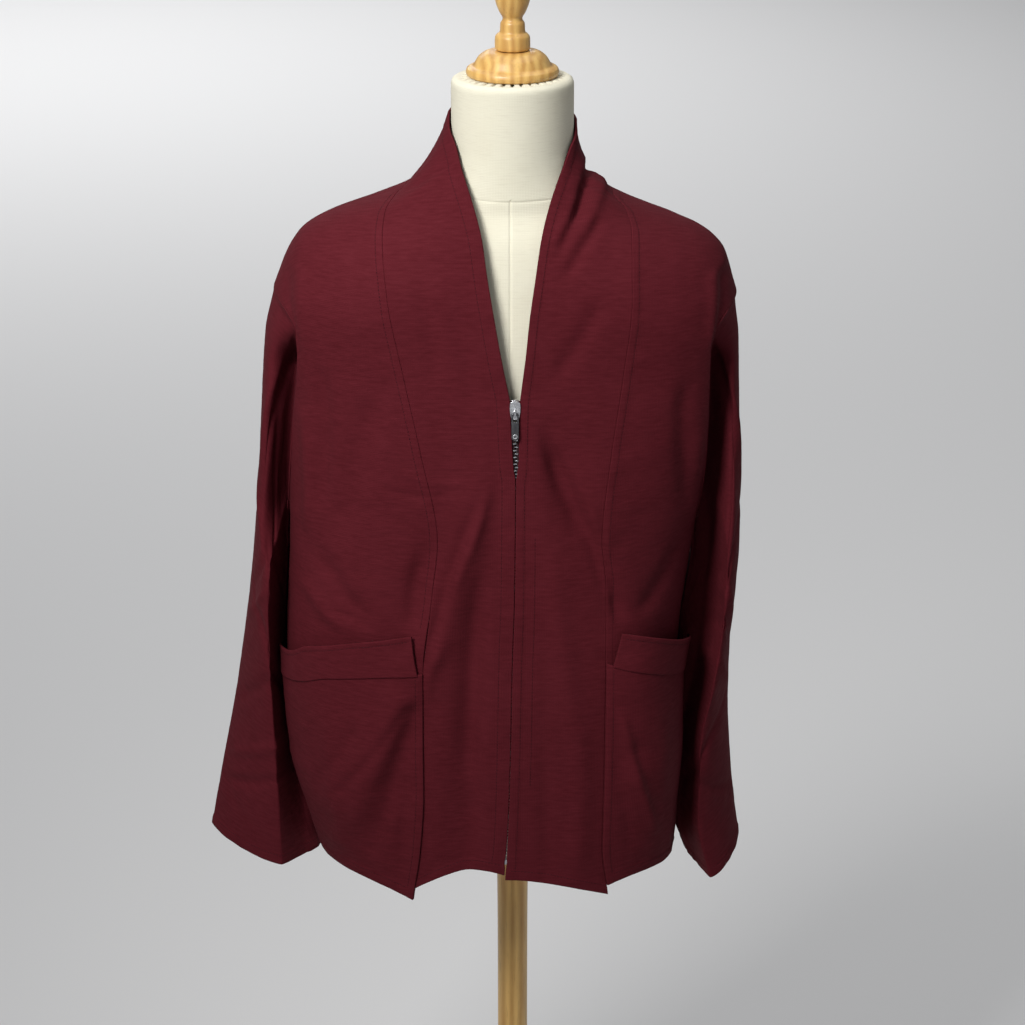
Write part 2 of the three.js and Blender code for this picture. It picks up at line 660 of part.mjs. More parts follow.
function sleeveGrid(side, loop) {
  const table = SLEEVES[side.name];
  const half = loop.length / 2;
  const column = (name) => alongRows(table, name);
  const [outer, top, inner, low, front, back, fold, dip] = Object.keys(table[0]).map(column);
  const power = (value) => Math.sign(value) * Math.abs(value) ** SLEEVE_POWER;
  const ringAngle = (i, t) => {
    const step = i <= half ? half - i : i - half;
    const armholeAngle = Math.acos(clamp(2 * yokeRise(step) - 1, -1, 1));
    const angle = i <= half ? armholeAngle : 2 * Math.PI - armholeAngle;
    return lerp(angle, (2 * Math.PI * i) / loop.length, smoothstep(t / SLEEVE_EVEN));
  };
  const section = (i, t) => {
    const angle = ringAngle(i, t);
    const along = power(Math.cos(angle));
    const forward = power(Math.sin(angle));
    const middle = (outer(t) + inner(t)) / 2;
    const x = lerp(inner(t), outer(t), (along + 1) / 2);
    const z = lerp(low(t), top(t), (along + 1) / 2) - dip(t) * forward;
    const shift = Math.max(0, forward) * (fold(t) - middle);
    const y = forward > 0 ? front(t) * forward : -back(t) * forward;
    return new THREE.Vector3(side.sign * (x + shift), y, z);
  };
  return range(SLEEVE_ROWS + 1).map((row) => {
    const t = row / SLEEVE_ROWS;
    const hold = (1 - smoothstep(t / SLEEVE_HOLD.over)) ** SLEEVE_HOLD.power;
    return loop.map((start, i) => {
      if (row === 0) {
        const above = UNDERARM + UNDERARM_BAND.height - start.z;
        const low = smoothstep(above / UNDERARM_BAND.over);
        return start.clone().add(new THREE.Vector3(side.sign * UNDERARM_GAP * low, 0, 0));
      }
      const offset = start.clone().sub(section(i, 0));
      const point = section(i, t).addScaledVector(offset, hold);
      return clearOfBody(side, point, SLEEVE_CLEARANCE);
    });
  });
}

// ------------------------------------------------------------------------ cloth walls

// Two normals more opposed than this belong to walls that fold back on each other.
const OPPOSED = -0.5;

const pointKey = (p) => [p.x, p.y, p.z].map((v) => Math.round(v * 100)).join(",");

// A grid's own normals. `turn` is 1 or -1 so that they point out of the jacket.
function gridNormals(grid, closed, turn) {
  const rows = grid.length;
  const columns = grid[0].length;
  const at = (i, j) => {
    const row = grid[clamp(i, 0, rows - 1)];
    return closed ? row[(j + columns) % columns] : row[clamp(j, 0, columns - 1)];
  };
  return grid.map((row, i) =>
    row.map((_, j) => {
      const up = at(i + 1, j).clone().sub(at(i - 1, j));
      const along = at(i, j + 1).clone().sub(at(i, j - 1));
      return along.cross(up).multiplyScalar(turn).normalize();
    }),
  );
}

// Panels that share a seam's points share its normals too, so that their walls meet
// edge to edge. Walls that fold back on each other keep their own.
function shareNormals(panels) {
  const found = new Map();
  for (const panel of panels) {
    panel.normals = gridNormals(panel.grid, panel.closed, panel.turn);
    panel.grid.flat().forEach((point, i) => {
      const key = pointKey(point);
      const list = found.get(key) ?? [];
      list.push(panel.normals.flat()[i]);
      found.set(key, list);
    });
  }
  for (const panel of panels) {
    panel.normals = panel.normals.map((row, i) =>
      row.map((own, j) => {
        const sum = new THREE.Vector3();
        for (const other of found.get(pointKey(panel.grid[i][j]))) {
          if (other.dot(own) > OPPOSED) sum.add(other);
        }
        return sum.normalize();
      }),
    );
  }
}

// Draws a grid's edge rows and columns back from its seams.
function trimSeams(grid, edges, gap) {
  const last = grid.length - 1;
  const end = grid[0].length - 1;
  const towards = (point, next) => point.clone().add(next.clone().sub(point).setLength(gap));
  return grid.map((row, i) =>
    row.map((point, j) => {
      let moved = point.clone();
      if (edges.includes("start") && j === 0) moved = towards(moved, row[1]);
      if (edges.includes("end") && j === end) moved = towards(moved, row[end - 1]);
      const inward = (next) => moved.add(next.clone().sub(point).setLength(gap));
      if (edges.includes("foot") && i === 0) inward(grid[1][j]);
      if (edges.includes("top") && i === last) inward(grid[last - 1][j]);
      return moved;
    }),
  );
}

// A closed wall between a panel's grid and the same surface one thickness further in.
function wallGeometry(panel) {
  const { grid, normals, closed, turn } = panel;
  const innerGrid = grid.map((row, i) =>
    row.map((p, j) => p.clone().addScaledVector(normals[i][j], -CLOTH)),
  );
  const rows = trimSeams(grid, panel.edges, SEAM_GAP / 2);
  const inside = trimSeams(innerGrid, panel.edges, SEAM_GAP / 2);
  const columns = grid[0].length;
  const positions = [...rows.flat(), ...inside.flat()].flatMap((p) => [p.x, p.y, p.z]);
  const shell = rows.length * columns;
  const index = [];
  const quad = (a, b, c, d) => {
    if (turn > 0) index.push(a, b, c, a, c, d);
    else index.push(a, c, b, a, d, c);
  };
  const spans = closed ? columns : columns - 1;
  const at = (i, j) => i * columns + (j % columns);
  for (const i of range(rows.length - 1)) {
    for (const j of range(spans)) {
      const [a, b, c, d] = [at(i, j), at(i, j + 1), at(i + 1, j + 1), at(i + 1, j)];
      quad(a, b, c, d);
      quad(a + shell, d + shell, c + shell, b + shell);
    }
  }
  const rim = (a, b) => quad(b, a, a + shell, b + shell);
  const last = rows.length - 1;
  for (const j of range(spans)) {
    rim(at(0, j), at(0, j + 1));
    rim(at(last, j + 1), at(last, j));
  }
  if (!closed) {
    for (const i of range(rows.length - 1)) {
      rim(at(i + 1, 0), at(i, 0));
      rim(at(i, columns - 1), at(i + 1, columns - 1));
    }
  }
  const geometry = new THREE.BufferGeometry();
  geometry.setAttribute("position", new THREE.Float32BufferAttribute(positions, 3));
  geometry.setIndex(index);
  return geometry;
}

// The point and normal of a panel at a column and a height, on its own facets.
function onPanel(panel, column, z) {
  const line = panel.grid.map((row) => row[column]);
  let i = 0;
  while (i < line.length - 2 && line[i + 1].z < z) i += 1;
  const t = (z - line[i].z) / (line[i + 1].z - line[i].z);
  const normal = panel.normals[i][column].clone().lerp(panel.normals[i + 1][column], t);
  return { point: line[i].clone().lerp(line[i + 1], t), normal: normal.normalize() };
}

// ---------------------------------------------------------------------------- pockets

// The welt band's place on each column of a side front, between the princess seam and
// the side seam.
function pocketPlaces(side) {
  const pocket = POCKETS[side.name];
  return range(SIDE_COLUMNS + 1).map((column) => {
    const share = column / SIDE_COLUMNS;
    const top = lerp(pocket.innerTop, pocket.outerTop, share);
    const foot = lerp(pocket.innerFoot, pocket.outerFoot, share);
    return { column, share, top, foot };
  });
}

// A patch on the side front. `levels` are functions from a place to a height, `out` gives
// how far the patch stands off the panel, and its end columns are drawn in from the
// seams by `inset`, as a share of the way to the next column.
function patchPanel({ name, sideFront, places, levels, out, inset }) {
  const cells = levels.map((level, i) => {
    const rise = i / (levels.length - 1);
    const row = places.map((place) => {
      const cell = onPanel(sideFront, place.column, level(place));
      cell.point.addScaledVector(cell.normal, out(place.share, rise));
      return cell;
    });
    const drawIn = (end, next) => {
      end.point.lerp(next.point, inset);
      end.normal.lerp(next.normal, inset).normalize();
    };
    drawIn(row[0], row[1]);
    drawIn(row.at(-1), row.at(-2));
    return row;
  });
  const grid = cells.map((row) => row.map((cell) => cell.point));
  const normals = cells.map((row) => row.map((cell) => cell.normal));
  const edges = inset === 0 ? ["start", "end"] : [];
  return { name, grid, normals, closed: false, turn: sideFront.turn, edges };
}

function pocketPanels(side, sideFront) {
  const places = pocketPlaces(side);
  const hem = HEMS[`side_front_${side.name}`];
  const { gape } = POCKETS[side.name];
  const footing = CLOTH + LAP_GAP;
  const belly = (share) => POCKET_EASE * Math.sin(Math.PI * share) ** POCKET_FULLNESS;
  const lastRow = POCKETS[side.name].outerFoot - POCKET_ROW_CLEARANCE;
  const rowsBelow = BODY_ROWS.filter((z) => z < lastRow);
  const pouchLevels = [
    (place) => hemHeight(hem, place.share),
    ...rowsBelow.map((z) => () => z),
    (place) => place.foot - SEAM_GAP / 2,
  ];
  const bandLevels = [0, 0.5, 1].map(
    (rise) => (place) => lerp(place.foot + SEAM_GAP / 2, place.top, rise),
  );
  const pouchOut = (share, rise) => footing + belly(share) * Math.sin((rise * Math.PI) / 2);
  const gaping = (share, rise) => rise * gape * share ** GAPE_POWER;
  const bandOut = (share, rise) => footing + LAP_GAP + belly(share) + gaping(share, rise);
  const shared = { sideFront, places };
  return [
    patchPanel({
      ...shared,
      name: `pocket_pouch_${side.name}`,
      levels: pouchLevels,
      out: pouchOut,
      inset: 0,
    }),
    patchPanel({
      ...shared,
      name: `pocket_band_${side.name}`,
      levels: bandLevels,
      out: bandOut,
      inset: POCKET_INSET,
    }),
  ];
}

// ------------------------------------------------------------------------ plain solids

// A closed solid through a stack of rings of equal length.
function loftGeometry(rings) {
  const columns = rings[0].length;
  const points = rings.flat();
  const foot = points.length;
  const centre = (ring) =>
    ring.reduce((sum, p) => sum.add(p), new THREE.Vector3()).divideScalar(ring.length);
  points.push(centre(rings[0]), centre(rings.at(-1)));
  const index = [];
  const at = (i, j) => i * columns + (j % columns);
  for (const j of range(columns)) {
    for (const i of range(rings.length - 1)) {
      const [a, b, c, d] = [at(i, j), at(i, j + 1), at(i + 1, j + 1), at(i + 1, j)];
      index.push(a, b, c, a, c, d);
    }
    index.push(foot, at(0, j + 1), at(0, j));
    index.push(foot + 1, at(rings.length - 1, j), at(rings.length - 1, j + 1));
  }
  const geometry = new THREE.BufferGeometry();
  const positions = points.flatMap((p) => [p.x, p.y, p.z]);
  geometry.setAttribute("position", new THREE.Float32BufferAttribute(positions, 3));
  geometry.setIndex(index);
  return geometry;
}

// A turned solid from an outline of radius and height, starting and ending on the axis.
function turnedGeometry(outline, segments = TURNED_SIDES) {
  const points = outline.map((row) => new THREE.Vector2(row.r, row.z));
  const geometry = new THREE.LatheGeometry(points, segments);
  geometry.rotateX(Math.PI / 2);
  return geometry;
}

function asManifold(geometry) {
  const plain = geometry.clone();
  plain.deleteAttribute("normal");
  plain.deleteAttribute("uv");
  const merged = mergeVertices(plain, 1e-4);
  const mesh = new wasm.Mesh({
    numProp: 3,
    vertProperties: new Float32Array(merged.attributes.position.array),
    triVerts: new Uint32Array(merged.index.array),
  });
  return new wasm.Manifold(mesh);
}

function fromManifold(solid) {
  const mesh = solid.getMesh();
  const geometry = new THREE.BufferGeometry();
  geometry.setAttribute("position", new THREE.Float32BufferAttribute(mesh.vertProperties, 3));
  geometry.setIndex(Array.from(mesh.triVerts));
  return geometry;
}

function boxGeometry(x, y, z) {
  const size = [x, y, z].map(([low, high]) => high - low);
  const middle = [x, y, z].map(([low, high]) => (low + high) / 2);
  return new THREE.BoxGeometry(...size).translate(...middle);
}

// ---------------------------------------------------------------------- the dress form

// How far out a side's shoulder line is at a height, found by halving.
function shoulderAt(side, z) {
  const ridge = shoulder[side.name];
  let near = NECK_RADIUS;
  let far = side.shoulderReach;
  while (far - near > 1e-6) {
    const middle = (near + far) / 2;
    if (ridge(middle) > z) near = middle;
    else far = middle;
  }
  return near;
}

function formRing({ z, right, left, front, back, power }) {
  return range(FORM_SIDES).map((i) => {
    const angle = (2 * Math.PI * i) / FORM_SIDES;
    const across = Math.cos(angle);
    const forward = Math.sin(angle);
    const shape = (value) => Math.sign(value) * Math.abs(value) ** (2 / power);
    const x = shape(across) * (across < 0 ? right : left);
    const y = shape(forward) * (forward < 0 ? front : back);
    return new THREE.Vector3(x, y, z);
  });
}

function torsoGeometry() {
  const level = (row, power) => formRing({ ...row, right: row.side, left: row.side, power });
  const shoulders = FORM_SHOULDERS.map((row) => {
    const under = (side) => Math.min(row.most, shoulderAt(side, row.z + SEAT_DROP));
    const [right, left] = SIDES.map(under);
    return formRing({ ...row, right, left, power: FORM_POWER.shoulders });
  });
  const torsoPower = (z) => (z < CHEST_LOW ? FORM_POWER.hips : FORM_POWER.chest);
  const torso = TORSO.map((row) => level(row, torsoPower(row.z)));
  const neck = NECK.map((row) => level(row, FORM_POWER.neck));
  return loftGeometry([...torso, ...shoulders, ...neck]);
}

function standPole() {
  const foot = BASE_HEIGHT + STAND_GAP;
  const top = FORM_BOTTOM - STAND_GAP;
  return turnedGeometry([
    ...POLE_FOOT.map(({ r, up }) => ({ r, z: foot + up })),
    ...POLE_HEAD.map(({ r, down }) => ({ r, z: top - down })),
  ]);
}

function standBase() {
  const edge = BASE_EDGE.map(({ inset, z }) => ({ r: BASE_RADIUS - inset, z }));
  return turnedGeometry([{ r: 0, z: 0 }, ...edge, { r: 0, z: BASE_HEIGHT }], BASE_SIDES);
}

// -------------------------------------------------------------------------- zip pieces

const centreFace = (z) => bodyPoint(SIDES[1], -1, zipX(z), z).y;

const behindCloth = CLOTH + 2 * LAP_GAP;

// A bar behind the cloth that follows the zip's line, between two distances off it.
function zipBar({ bottom, top, low, high, thick }) {
  return loftGeometry(
    range(ZIP_STEPS + 1).map((i) => {
      const z = lerp(bottom, top, i / ZIP_STEPS);
      const x = zipX(z);
      const near = centreFace(z) + behindCloth;
      return [
        new THREE.Vector3(x + low, near, z),
        new THREE.Vector3(x + high, near, z),
        new THREE.Vector3(x + high, near + thick, z),
        new THREE.Vector3(x + low, near + thick, z),
      ];
    }),
  );
}

function sliderGeometry() {
  const half = SLIDER.height / 2;
  const plateFront = -(SLIDER.lift + SLIDER.plate);
  const outline = new THREE.Shape([
    new THREE.Vector2(-SLIDER.footHalf, -half),
    new THREE.Vector2(SLIDER.footHalf, -half),
    new THREE.Vector2(SLIDER.topHalf, half * SLIDER.flank),
    new THREE.Vector2(SLIDER.topHalf, half * SLIDER.shoulder),
    new THREE.Vector2(SLIDER.topHalf * SLIDER.crest, half),
    new THREE.Vector2(-SLIDER.topHalf * SLIDER.crest, half),
    new THREE.Vector2(-SLIDER.topHalf, half * SLIDER.shoulder),
    new THREE.Vector2(-SLIDER.topHalf, half * SLIDER.flank),
  ]);
  const plate = (backFace) =>
    new THREE.ExtrudeGeometry(outline, { depth: SLIDER.plate, bevelEnabled: false })
      .rotateX(Math.PI / 2)
      .translate(0, backFace, 0);
  const core = boxGeometry(
    [-SLIDER.coreHalf, SLIDER.coreHalf],
    [-SLIDER.lift - WELD, SLIDER.depth + WELD],
    [-half + SLIDER.coreFoot, half - SLIDER.coreHead],
  );
  const crownHeight = SLIDER.crownReach + WELD;
  const chamfer = SLIDER.crownChamfer;
  const crownOutline = new THREE.Shape([
    new THREE.Vector2(SLIDER.crownLow, 0),
    new THREE.Vector2(SLIDER.crownHigh, 0),
    new THREE.Vector2(SLIDER.crownHigh, crownHeight - chamfer),
    new THREE.Vector2(SLIDER.crownHigh - chamfer, crownHeight),
    new THREE.Vector2(SLIDER.crownLow + chamfer, crownHeight),
    new THREE.Vector2(SLIDER.crownLow, crownHeight - chamfer),
  ]);
  const alongZip = new THREE.Matrix4().makeBasis(
    new THREE.Vector3(0, 0, 1),
    new THREE.Vector3(0, -1, 0),
    new THREE.Vector3(1, 0, 0),
  );
  const crown = new THREE.ExtrudeGeometry(crownOutline, {
    depth: 2 * SLIDER.crownHalf,
    bevelEnabled: false,
  })
    .applyMatrix4(alongZip)
    .translate(-SLIDER.crownHalf, plateFront + WELD, 0);
  const eye = boxGeometry(
    [-SLIDER.crownHalf - WELD, SLIDER.crownHalf + WELD],
    [plateFront - SLIDER.crownReach + SLIDER.crownWall, plateFront],
    [SLIDER.crownLow + SLIDER.crownWall, SLIDER.crownHigh - SLIDER.crownWall],
  );
  const loop = asManifold(crown).subtract(asManifold(eye));
  const pieces = [plate(-SLIDER.lift), plate(SLIDER.depth + SLIDER.plate), core].map(asManifold);
  return fromManifold(pieces.reduce((sum, piece) => sum.add(piece), loop));
}

// Points on an arc in a shape's plane, its last point left out if the arc is a circle.
function arcPoints(x, y, radius, start, end, steps) {
  const whole = end - start === 360;
  return range(whole ? steps : steps + 1).map((i) => {
    const angle = radians(lerp(start, end, i / steps));
    return new THREE.Vector2(x + radius * Math.cos(angle), y + radius * Math.sin(angle));
  });
}

// The pull tab, hanging from its own axis at the origin.
function pullGeometry() {
  const { halfWidth, length, corner, bar, windowHalf, thick } = PULL;
  const foot = bar - length;
  const outline = new THREE.Shape([
    new THREE.Vector2(halfWidth, bar - corner),
    new THREE.Vector2(halfWidth - corner, bar),
    new THREE.Vector2(-halfWidth + corner, bar),
    new THREE.Vector2(-halfWidth, bar - corner),
    ...arcPoints(0, foot + halfWidth, halfWidth, 180, 360, 8),
  ]);
  const hole = new THREE.Path(arcPoints(0, foot + PULL.holeUp, PULL.hole, 0, 360, 10));
  outline.holes.push(hole);
  const plate = new THREE.ExtrudeGeometry(outline, { depth: thick, bevelEnabled: false })
    .translate(0, 0, -thick / 2)
    .rotateX(Math.PI / 2);
  const window = [-bar - PULL.window, -bar];
  const slot = boxGeometry([-windowHalf, windowHalf], [-thick, thick], window);
  return fromManifold(asManifold(plate).subtract(asManifold(slot)));
}

// --------------------------------------------------------------------------- assembly

function material(colour, roughness, metalness = 0) {
  return new THREE.MeshStandardMaterial({ color: colour, roughness, metalness });
}

const jacket = new THREE.Group();

function add(name, geometry, finish, group = jacket) {
  const mesh = new THREE.Mesh(geometry, finish);
  mesh.name = name;
  group.add(mesh);
  return mesh;
}

const cloth = () => material(COLOURS.cloth, 0.9);

// The panels of one side: its centre front, side front, half of the back, and sleeve.
function sideGrids(side) {
  const sideFront = sideFrontGrid(side);
  const backHalf = backHalfGrid(side);
  return {
    [`front_${side.name}`]: frontGrid(side, sideFront, backHalf),
    [`side_front_${side.name}`]: sideFront,
    [`sleeve_${side.name}`]: sleeveGrid(side, armholeLoop(sideFront, backHalf)),
  };
}

function clothPanels() {
  const seams = ["start", "end", "top"];
  const panels = [];
  for (const side of SIDES) {
    for (const [name, grid] of Object.entries(sideGrids(side))) {
      const closed = name.startsWith("sleeve");
      panels.push({ name, grid, closed, turn: side.sign, edges: closed ? ["foot"] : seams });
    }
  }
  panels.push({ name: "back", grid: backGrid(), closed: false, turn: -1, edges: seams });
  shareNormals(panels);
  const sideFronts = SIDES.map((side) =>
    panels.find((panel) => panel.name === `side_front_${side.name}`),
  );
  return [...panels, ...SIDES.flatMap((side, i) => pocketPanels(side, sideFronts[i]))];
}

for (const panel of clothPanels()) add(panel.name, wallGeometry(panel), cloth());

const tapeFinish = () => material(COLOURS.tape, 0.85);
const steel = () => material(COLOURS.steel, 0.35, 0.9);
for (const side of SIDES) {
  const [low, high] = [side.sign * TAPE.inner, side.sign * TAPE.outer].sort((a, b) => a - b);
  const tape = { ...TAPE, top: ZIP_TOP - TAPE.headRoom, low, high };
  add(`zip_tape_${side.name}`, zipBar(tape), tapeFinish());
}
for (const [name, bar] of Object.entries({ zip_chain: CHAIN, zip_bottom_stop: STOP })) {
  add(name, zipBar({ ...bar, low: -bar.halfWidth, high: bar.halfWidth }), steel());
}

const half = SLIDER.height / 2;
const rise = centreFace(SLIDER.middle + half) - centreFace(SLIDER.middle - half);
const slider = new THREE.Group();
slider.position.set(zipX(SLIDER.middle), centreFace(SLIDER.middle), SLIDER.middle);
slider.rotation.x = -Math.atan2(rise, SLIDER.height);
add("zip_slider", sliderGeometry(), steel(), slider);
const eyeMiddle = SLIDER.lift + SLIDER.plate + (SLIDER.crownReach - SLIDER.crownWall) / 2;
const pull = add("zip_pull", pullGeometry(), steel(), slider);
pull.position.set(0, -eyeMiddle, SLIDER.pivot);
jacket.add(slider);

const wood = () => material(COLOURS.wood, 0.5);
const overNeck = NECK_TOP + STAND_GAP;
add("form_torso", torsoGeometry(), material(COLOURS.canvas, 0.95));
add("form_neck_plate", turnedGeometry(NECK_PLATE), wood()).position.z = overNeck;
add("form_finial", turnedGeometry(FINIAL), wood()).position.z = overNeck;
add("stand_pole", standPole(), wood());
add("stand_base", standBase(), wood());

export default jacket;
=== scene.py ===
"""A monk's jacket on a dress form, dressed for rendering.

The jacket's panels are thin shells on the same surfaces as the frame's solids, with their
creases, hems, rolled edges and topstitching. The form, its stand and the zip's hard pieces
are rebuilt with their turned, padded and bevelled shapes. Surfaces are worked out in
millimetres, with +Z up, the jacket's front facing -Y and the wearer's left at +X, and meshes
are made in metres.
"""

from __future__ import annotations

import logging
import math
from dataclasses import dataclass, field, replace
from enum import Enum
from typing import Callable, Sequence

import bpy
import numpy as np
from mathutils import Matrix, Vector

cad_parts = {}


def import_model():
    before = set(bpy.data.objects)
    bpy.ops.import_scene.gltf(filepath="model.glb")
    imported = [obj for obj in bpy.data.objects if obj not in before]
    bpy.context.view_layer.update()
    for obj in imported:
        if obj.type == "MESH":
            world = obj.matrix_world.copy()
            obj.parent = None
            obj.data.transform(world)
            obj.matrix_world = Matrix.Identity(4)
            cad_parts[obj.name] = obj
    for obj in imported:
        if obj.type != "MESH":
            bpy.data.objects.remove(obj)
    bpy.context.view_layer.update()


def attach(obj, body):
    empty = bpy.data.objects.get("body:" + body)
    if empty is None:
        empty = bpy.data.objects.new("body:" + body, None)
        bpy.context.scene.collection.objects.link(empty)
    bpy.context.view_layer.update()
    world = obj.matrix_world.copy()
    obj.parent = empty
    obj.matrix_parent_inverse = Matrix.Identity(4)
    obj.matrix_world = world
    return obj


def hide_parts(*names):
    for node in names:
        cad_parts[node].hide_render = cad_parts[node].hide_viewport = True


LOG = logging.getLogger("monk_jacket")
MM = 0.001
BODY = "jacket_and_form"
PULL_BODY = "pull_tab"

# One number, or an array of them, that a function works on point by point.
Values = float | np.ndarray
# A node's output, which a later node's input is joined to.
Socket = bpy.types.NodeSocket

CLOTH = 1.6
UNDERARM = 990.0
NECK_POINT_SHARE = 0.442
ZIP_TOP = 1150.0
CAP_HEIGHT = 110.0
SECTION_POWER = 2.6
COLLAR_RADIUS = 62.0
COLLAR_BACK_TOP = 1412.0
BACK_NECK = 1352.0
BACK_HEM = 652.0
YOKE_ANGLES = (0, 3, 9, 18, 27, 36, 45, 54, 63, 72, 81, 90)
YOKE_STEPS = len(YOKE_ANGLES) - 1
ZIP_TOP_STEP = 4
HOLLOW_START = 0.45


class Side(Enum):
    """The wearer's right and left, with the sign of X on that side."""

    RIGHT = -1
    LEFT = 1

    @property
    def key(self) -> str:
        """The side's name in the tables and in the names of pieces."""
        return self.name.lower()


class Face(Enum):
    """The front and the back of the jacket's body, with the sign of Y there."""

    FRONT = -1
    BACK = 1


class Slot(Enum):
    """The record's material slots."""

    CLOTH = "cloth"
    TAPE = "zip_tape"
    METAL = "zip_metal"
    CANVAS = "form_canvas"
    WOOD = "wood"


# ------------------------------------------------------------------------- small helpers


def lerp(a: Values, b: Values, t: Values) -> Values:
    """Blend a into b as t goes from 0 to 1."""
    return a + (b - a) * t


def smoothstep(t: Values) -> np.ndarray:
    """A soft step from 0 to 1 as t goes from 0 to 1."""
    u = np.clip(t, 0.0, 1.0)
    return u * u * (3 - 2 * u)


def bump(distance: Values, width: float) -> np.ndarray:
    """A soft hill of height 1 over a distance of 0.

    Args:
        distance: How far each point is from the hill's line.
        width: The distance at which the hill has fallen to about a third.

    Returns:
        The hill's height at each point.
    """
    return np.exp(-((distance / width) ** 2))


def signed_power(value: Values, power: Values) -> Values:
    """A value's size raised to a power, with its sign kept."""
    return np.sign(value) * np.abs(value) ** power


def unit(vectors: np.ndarray) -> np.ndarray:
    """Vectors scaled to length 1 along their last axis."""
    return vectors / np.maximum(np.linalg.norm(vectors, axis=-1, keepdims=True), 1e-9)


class Profile:
    """A smooth function through a table's rows, without overshoot."""

    def __init__(self, at: Sequence[float], value: Sequence[float]) -> None:
        """Take the table's columns.

        Args:
            at: The place of each row, rising.
            value: The value at each row.
        """
        self.at = np.asarray(at, dtype=float)
        self.value = np.asarray(value, dtype=float)
        rise = np.diff(self.value) / np.diff(self.at)
        before, after = rise[:-1], rise[1:]
        total = np.where(before + after == 0, 1.0, before + after)
        inner = np.where(before * after <= 0, 0.0, 2 * before * after / total)
        self.slope = np.concatenate([rise[:1], inner, rise[-1:]])

    def __call__(self, place: Values) -> np.ndarray:
        """The function's value at each place.

        Args:
            place: Where to read it. Past either end it keeps the end's value.

        Returns:
            The value at each place.
        """
        here = np.clip(place, self.at[0], self.at[-1])
        i = np.clip(np.searchsorted(self.at, here, side="left") - 1, 0, len(self.at) - 2)
        width = self.at[i + 1] - self.at[i]
        t = (here - self.at[i]) / width
        eased = t * t * (3 - 2 * t)
        start = t * (1 - t) ** 2 * width * self.slope[i]
        end = t * t * (t - 1) * width * self.slope[i + 1]
        return lerp(self.value[i], self.value[i + 1], eased) + start + end


def noise(u: np.ndarray, v: np.ndarray, seed: int) -> np.ndarray:
    """Smooth value noise from -1 to 1 with a cell of 1, the same on every run.

    Args:
        u: First coordinate of each point.
        v: Second coordinate of each point.
        seed: Picks one of many patterns.

    Returns:
        The noise at each point.
    """

    def corner(i: np.ndarray, j: np.ndarray) -> np.ndarray:
        """The value at a cell's corner, from its whole-number place."""
        mixed = (i * 73856093) ^ (j * 19349663) ^ (seed * 83492791)
        mixed = (mixed ^ (mixed >> 13)) * 1274126177
        return ((mixed ^ (mixed >> 16)) & 0xFFFF) / 32767.5 - 1.0

    i, j = np.floor(u).astype(np.int64), np.floor(v).astype(np.int64)
    s, t = smoothstep(u - i), smoothstep(v - j)
    near = lerp(corner(i, j), corner(i + 1, j), s)
    far = lerp(corner(i, j + 1), corner(i + 1, j + 1), s)
    return lerp(near, far, t)


# ------------------------------------------------------------------------ driving tables


@dataclass(frozen=True)
class SideCut:
    """One side's own sizes.

    Attributes:
        shoulder_reach: From the centre to the top of the sleeve seam.
        collar_dip: How much lower this side's collar edge ends.
        collar_hollow: How far the collar curves in towards the neck.
        shoulder: The shoulder line, as (x, z).
        sleeve: Rows of the sleeve, as (outer, top, inner, low, front, back, fold, dip).
    """

    shoulder_reach: float
    collar_dip: float
    collar_hollow: float
    shoulder: tuple[tuple[float, float], ...]
    sleeve: tuple[tuple[float, ...], ...]


CUTS = {
    Side.RIGHT: SideCut(
        shoulder_reach=232,
        collar_dip=0,
        collar_hollow=6,
        shoulder=(
            (0, 1377),
            (40, 1369),
            (72, 1351),
            (103, 1332),
            (180, 1303),
            (202, 1290),
            (217, 1269),
            (232, 1232),
        ),
        sleeve=(
            (232, 1232, 222, 990, -66, 72, 208, 0),
            (241, 1190, 220, 956, -66, 78, 222, 0),
            (246, 1130, 216, 918, -68, 82, 233, 2),
            (250, 1060, 213, 876, -68, 82, 238, 4),
            (257, 980, 211, 834, -67, 80, 241, 5),
            (268, 893, 210, 790, -66, 76, 240, 7),
            (282, 805, 208, 744, -64, 70, 238, 8),
            (298, 725, 204, 692, -62, 64, 236, 9),
            (312, 652, 200, 637, -60, 60, 235, 11),
        ),
    ),
    Side.LEFT: SideCut(
        shoulder_reach=218,
        collar_dip=7,
        collar_hollow=10,
        shoulder=(
            (0, 1377),
            (40, 1367),
            (70, 1346),
            (96, 1326),
            (160, 1300),
            (180, 1291),
            (203, 1272),
            (218, 1227),
        ),
        sleeve=(
            (218, 1227, 187, 990, -64, 70, 190, 0),
            (220, 1190, 183, 956, -66, 76, 202, 0),
            (221, 1130, 176, 918, -67, 80, 210, 4),
            (222, 1060, 168, 876, -67, 80, 211, 8),
            (224, 985, 162, 834, -66, 78, 208, 11),
            (220, 895, 156, 790, -65, 76, 199, 14),
            (220, 810, 154, 744, -63, 72, 188, 17),
            (225, 722, 158, 690, -61, 70, 188, 20),
            (235, 642, 176, 640, -60, 68, 202, 22),
        ),
    ),
}

# Sections of the body: height, reach to the right and left, depth to the front and back.
BODY_SECTIONS = (
    (610, 186, 162, 153, 142),
    (700, 210, 166, 149, 139),
    (757, 223, 168, 146, 135),
    (857, 228, 167, 140, 128),
    (1000, 221.6, 183, 130, 118),
    (1110, 222, 206, 122, 112),
    (1187, 230, 216, 114, 108),
    (1240, 237, 223, 112, 105),
    (1390, 237, 223, 112, 105),
)
